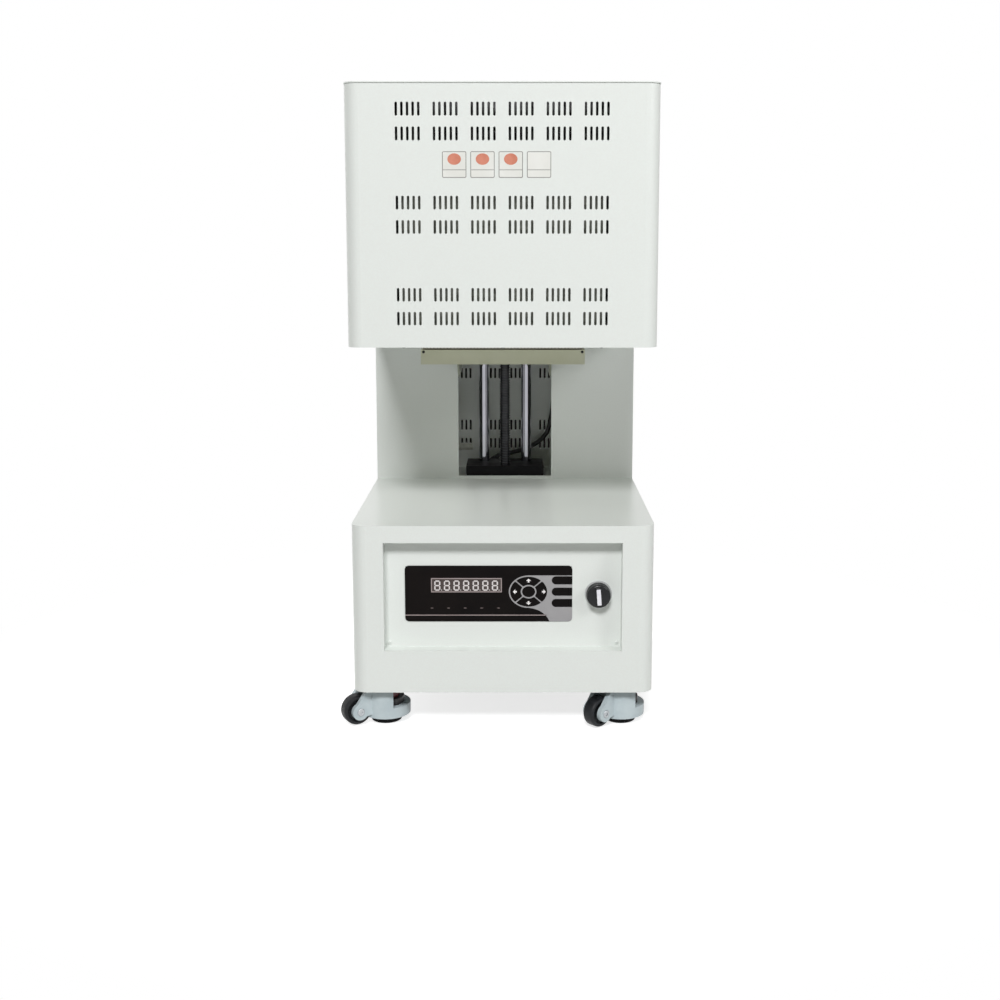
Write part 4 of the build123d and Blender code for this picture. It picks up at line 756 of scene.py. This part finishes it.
heater_radius, sensor_radius = 4.5, 2.0
heater_route = ((-72, 70, 212), (-72, 160, 212), (-52, 248, 236), (-52, 248, 373.5), (60, 248, 392),
                (104, 248, 450.5), (104, 248, 947.8), (104, 67, 947.8))
sensor_route = ((-120, 246, 397), (-160, 246, 397), (-160, 248, 256), (-110, 95, 186))
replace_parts(lay_cable("heater_cable", heater_route, heater_radius), "cable_harness")
lay_cable("sensor_lead", sensor_route, sensor_radius)
clip_spots, clip_reach, clip_front, clip_back = ((104, 766), (-52, 338)), (9, 6), 240, 258.5
fittings = bmesh.new()
for clip_x, clip_z in clip_spots:
    block(fittings, (clip_x - clip_reach[0], clip_front, clip_z - clip_reach[1]),
          (clip_x + clip_reach[0], clip_back, clip_z + clip_reach[1]), soft=1.5)
hand_over("cable_clips", fittings, moulded_black, "cabinet", "cable_sheath")
terminals_low, terminals_high = (64, 31, 929.8), (144, 67, 963.8)
terminals = bmesh.new()
block(terminals, terminals_low, terminals_high, soft=2.5, steps=3)
hand_over("terminal_block", terminals, glazed_ceramic, "cabinet", "cable_sheath")
finish_nodes(moulded_black, "cable_gland")

# The chamber and the hearth
# A box of ceramic fibre board in a galvanised jacket, heated by hairpin elements that hang at both sides.
# The hearth rides up through its floor and closes it against a braided rope seal.
make_finish("vacuum_formed_fibre_board", "#EEEBE1", 0.92, (26, "#E8E4D8", "#F2F0E8"), (1.8, 0.25, 6),
            nodes=["chamber_insulation"])
make_finish("fired_hearth_ceramic", "#DCD4C6", 0.85, (20, "#D2C9B9", "#E4DDD0"), (1.4, 0.15, 5),
            nodes=["hearth_insulation", "hearth_plate"])
make_finish("oxidised_heater_alloy", "#6E6A66", 0.6, (11, "#5E5A56", "#7E7974", (0.5, 0.72)), (0.9, 0.05, 4),
            metallic=0.4, nodes=["heater_elements"])
make_finish("sintered_alumina", "#DDD8CB", 0.5, (10, "#D6D1C3", "#E3DFD4", (0.42, 0.58)), (0.8, 0.03),
            nodes=["thermocouple"])

# Galvanised sheet: a dull grey metal whose zinc crystals, about 12 mm across, each catch the light differently
galvanised, tree, shader, in_mm = new_finish("galvanised_sheet", "#8C8F84", 0.42, 0.85)
crystal_size = 12
spangle = add_node(tree, "ShaderNodeTexVoronoi", {"Vector": in_mm, "Scale": 1 / crystal_size})
crystal = add_node(tree, "ShaderNodeSeparateColor", {0: spangle.outputs["Color"]})
two_tone(tree, shader, crystal.outputs[0], "#80837A", "#999C92")
crystal_gloss = add_node(tree, "ShaderNodeMapRange", {"Value": crystal.outputs[1], "To Min": 0.34,
                         "To Max": 0.54})
tree.links.new(crystal_gloss.outputs[0], shader.inputs["Roughness"])
finish_nodes(galvanised, "chamber_jacket")

# Braided ceramic rope: strands cross at about 4 mm on a dusty grey-white body.
# The grooves between the strands are coloured darker: painted shade.
braided_rope, tree, shader, in_mm = new_finish("braided_ceramic_rope", "#C9C7BC", 0.9)
strand_scale, strand_depth = 0.08, 0.5
strand_turned = add_node(tree, "ShaderNodeMapping", {"Vector": in_mm, "Rotation": (0, 0, math.radians(45))})
along, across = [add_node(tree, "ShaderNodeTexWave", {"Vector": strand_turned.outputs[0],
                 "Scale": strand_scale}, bands_direction=way).outputs["Fac"] for way in "XY"]
strands = add_node(tree, "ShaderNodeMath", {0: along, 1: across}, operation="MAXIMUM")
strand_relief = add_node(tree, "ShaderNodeBump", {"Height": strands.outputs[0], "Distance": strand_depth * mm})
tree.links.new(strand_relief.outputs[0], shader.inputs["Normal"])
# Darker where the strands sink: painted shade in the grooves of the braid
two_tone(tree, shader, strands.outputs[0], "#A3A298", "#D3D1C7")
seal_centre, seal_middle, seal_half, seal_low, seal_high = (0, -86), 246, 11, 633.8, 642
seal_corner, seal_corner_gain, seal_steps, squareness = 6, 0.45, 24, 0.7


def square_off(value):
    """A sine or cosine, pushed outwards so that the round section is nearly square."""
    return math.copysign(abs(value) ** squareness, value)


rope = bmesh.new()
rope_rings = []
for step in range(seal_steps):
    around = math.tau * step / seal_steps
    out = seal_half * square_off(math.cos(around))
    level = (seal_low + seal_high) / 2 + (seal_high - seal_low) / 2 * square_off(math.sin(around))
    ring = rounded_box(seal_centre, seal_middle + 2 * out, seal_middle + 2 * out,
                       seal_corner + out * seal_corner_gain, 8)
    rope_rings.append([rope.verts.new((*point, level)) for point in ring])
for inner, outer in zip(rope_rings, rope_rings[1:] + rope_rings[:1]):
    for spot in range(len(inner)):
        rope.faces.new((inner[spot - 1], inner[spot], outer[spot], outer[spot - 1]))
bmesh.ops.recalc_face_normals(rope, faces=rope.faces[:])
hand_over("rope_seal", rope, braided_rope, "cabinet", "seal_rope", "chamber_seal", crease=60)

# The upper housing and its fixings
# The white box over the bay has rows of punched vents, four blank self-adhesive plates on its front and a
# lid. Black pan-head screws with a cross recess hold the back cover, the throat plate and the casters. Two
# white ones hold the panel tray, and two small ones the front of the hearth tray.
screw_finish = make_finish("blackened_screw_steel", "#1F1F21", 0.36, (6, "#1A1A1B", "#28282A", (0.3, 0.46)),
                           (0.5, 0.01), metallic=0.7)
head_radius, head_height, shank_radius, shank_length = 3.8, 2.2, 2.0, 8.0
screw_shape = turn(bmesh.new(), [(0, -shank_length), (1.2, -shank_length), (shank_radius, 0.8 - shank_length),
                   (shank_radius, 0), (head_radius - 0.1, 0), (head_radius, 0.3), (3.6, 1.1), (2.9, 1.8),
                   (1.8, head_height), (0, head_height)], sides=20)
slit_low, slit_high = (-2.3, -0.45, 0.9), (2.3, 0.45, 3)
cross = bmesh.new()
for quarter in (0, 90):
    block(cross, slit_low, slit_high, Matrix.Rotation(math.radians(quarter), 4, "Z"))
screw_model = bpy.data.objects.new("pan_head_screw", bake_shape("pan_head_screw", screw_shape))
cross_model = bpy.data.objects.new("cross_recess", bake_shape("cross_recess", cross))
for model in (screw_model, cross_model):
    scene.collection.objects.link(model)
recess_cut = screw_model.modifiers.new("recess", "BOOLEAN")
recess_cut.object = cross_model
recess_cut.operation = "DIFFERENCE"
recess_cut.use_self = True

back_screw_x, back_face, back_screw_heights = 235, 280, (156, 339.5, 522, 762, 1035.5)
throat_screw_row, throat_screw_y, throat_face = (-160, 0, 160), -261, 642
bolt_reach, bolt_face = 28, 80
panel_screw, tray_screw, tray_screw_size = (190, -255, 144.4), (131, -221.5, 630), 0.6
ahead, behind, below = (0, -1, 0), (0, 1, 0), (0, 0, -1)
screw_spots = [((side * back_screw_x, back_face, height), behind) for side in (-1, 1)
               for height in back_screw_heights]
screw_spots += [((across, throat_screw_y, throat_face), below) for across in throat_screw_row]
screw_spots += [((spot_x + side * bolt_reach, spot_y + end * bolt_reach, bolt_face), below)
                for spot_x, spot_y, heading in caster_spots.values() for side in (-1, 1) for end in (-1, 1)]
panel_screw_spots, tray_screw_spots = [[((side * across, depth, height), ahead) for side in (-1, 1)]
                                       for across, depth, height in (panel_screw, tray_screw)]
screw_tree, given = new_builder("screw_set", Screw="NodeSocketObject", Size="NodeSocketFloat",
                                Finish="NodeSocketMaterial")
screw_source = add_node(screw_tree, "GeometryNodeObjectInfo", {"Object": given.outputs["Screw"]})
facing_read = add_node(screw_tree, "GeometryNodeInputNamedAttribute", {"Name": "facing"},
                       data_type="FLOAT_VECTOR")
screw_aim = add_node(screw_tree, "FunctionNodeAlignRotationToVector", {"Vector": facing_read.outputs[0]},
                     axis="Z")
screws_put = add_node(screw_tree, "GeometryNodeInstanceOnPoints", {"Points": given.outputs["Shape"],
                      "Instance": screw_source.outputs["Geometry"], "Rotation": screw_aim.outputs[0],
                      "Scale": given.outputs["Size"]})
end_builder(screw_tree, screws_put.outputs[0], given.outputs["Finish"])


def drive_screws(name, spots, size, finish, body, slot, *stands_for):
    """Pan-head screws of one size, each at a place and facing its way."""
    spots_mesh = bpy.data.meshes.new(name)
    spots_mesh.from_pydata([place for place, facing in spots], [], [])
    facings = spots_mesh.attributes.new("facing", "FLOAT_VECTOR", "POINT")
    for spot, (place, facing) in zip(facings.data, spots):
        spot.vector = facing
    made = build_mesh(screw_tree, spots_mesh, Screw=screw_model, Size=size, Finish=finish)
    hand_over(name, made, finish, body, slot, *stands_for)


drive_screws("pan_head_screws", screw_spots, 1.0, screw_finish, "cabinet", "screw_black", "casing_screws")
drive_screws("panel_screws", panel_screw_spots, 1.0, housing_coat, "cabinet", "white_paint")
drive_screws("tray_screws", tray_screw_spots, tray_screw_size, screw_finish, "elevator", "screw_black")
for model in (screw_model, cross_model):
    bpy.data.objects.remove(model)

# Four blank plates of printed vinyl: a grey outline, a divider and, on three of them, a plain muted disc
plate_vinyl = make_finish("satin_white_vinyl", "#DFE0DB", 0.34, (30, "#DDDED8", "#E3E4DF", (0.3, 0.4)),
                          (1.0, 0.006))
plate_line = make_finish("printed_plate_outline", "#6E6E6C", 0.5, (20, "#686866", "#757573"))
plate_disc = make_finish("printed_plate_disc", "#C67A62", 0.5, (12, "#C0745C", "#CE836C"))
casing_front = -280
plate_lefts, plate_width, plate_low, plate_high, plate_thick = (-95, -50.5, -6, 38.5), 39, 909.7, 951.4, 0.2
plate_corner, outline_outset, outline_inset, divider_inset, divider_thick = 2.5, 1, 3, 3.4, 0.9
disc_count = 3
divider_height, disc_height, disc_radius, disc_widening = 922.4, 939, 8.9, 1.2
plate_height = (plate_low + plate_high) / 2
plates, outlines, discs = [], [], []
for number, plate_left in enumerate(plate_lefts):
    middle = (plate_left + plate_width / 2, plate_height)
    size = (plate_width, plate_high - plate_low)
    plates.append(rounded_box(middle, *size, plate_corner))
    outlines += [rounded_box(middle, size[0] - outline_outset, size[1] - outline_outset, plate_corner - 0.3),
                 rounded_box(middle, size[0] - outline_inset, size[1] - outline_inset, plate_corner - 1.1),
                 rounded_box((middle[0], divider_height), size[0] - divider_inset, divider_thick, 0.2)]
    if number < disc_count:
        discs.append(oval((middle[0], disc_height), disc_radius * disc_widening, disc_radius, steps=48))
hand_over("blank_plates", stamp(plates, 0, plate_thick, on_front(casing_front)), plate_vinyl, "cabinet",
          "overlay_print")
plate_face = casing_front - plate_thick
print_on("plate_outlines", outlines, plate_face, plate_line, "cabinet", "overlay_print")
print_on("plate_discs", discs, plate_face, plate_disc, "cabinet", "overlay_print")
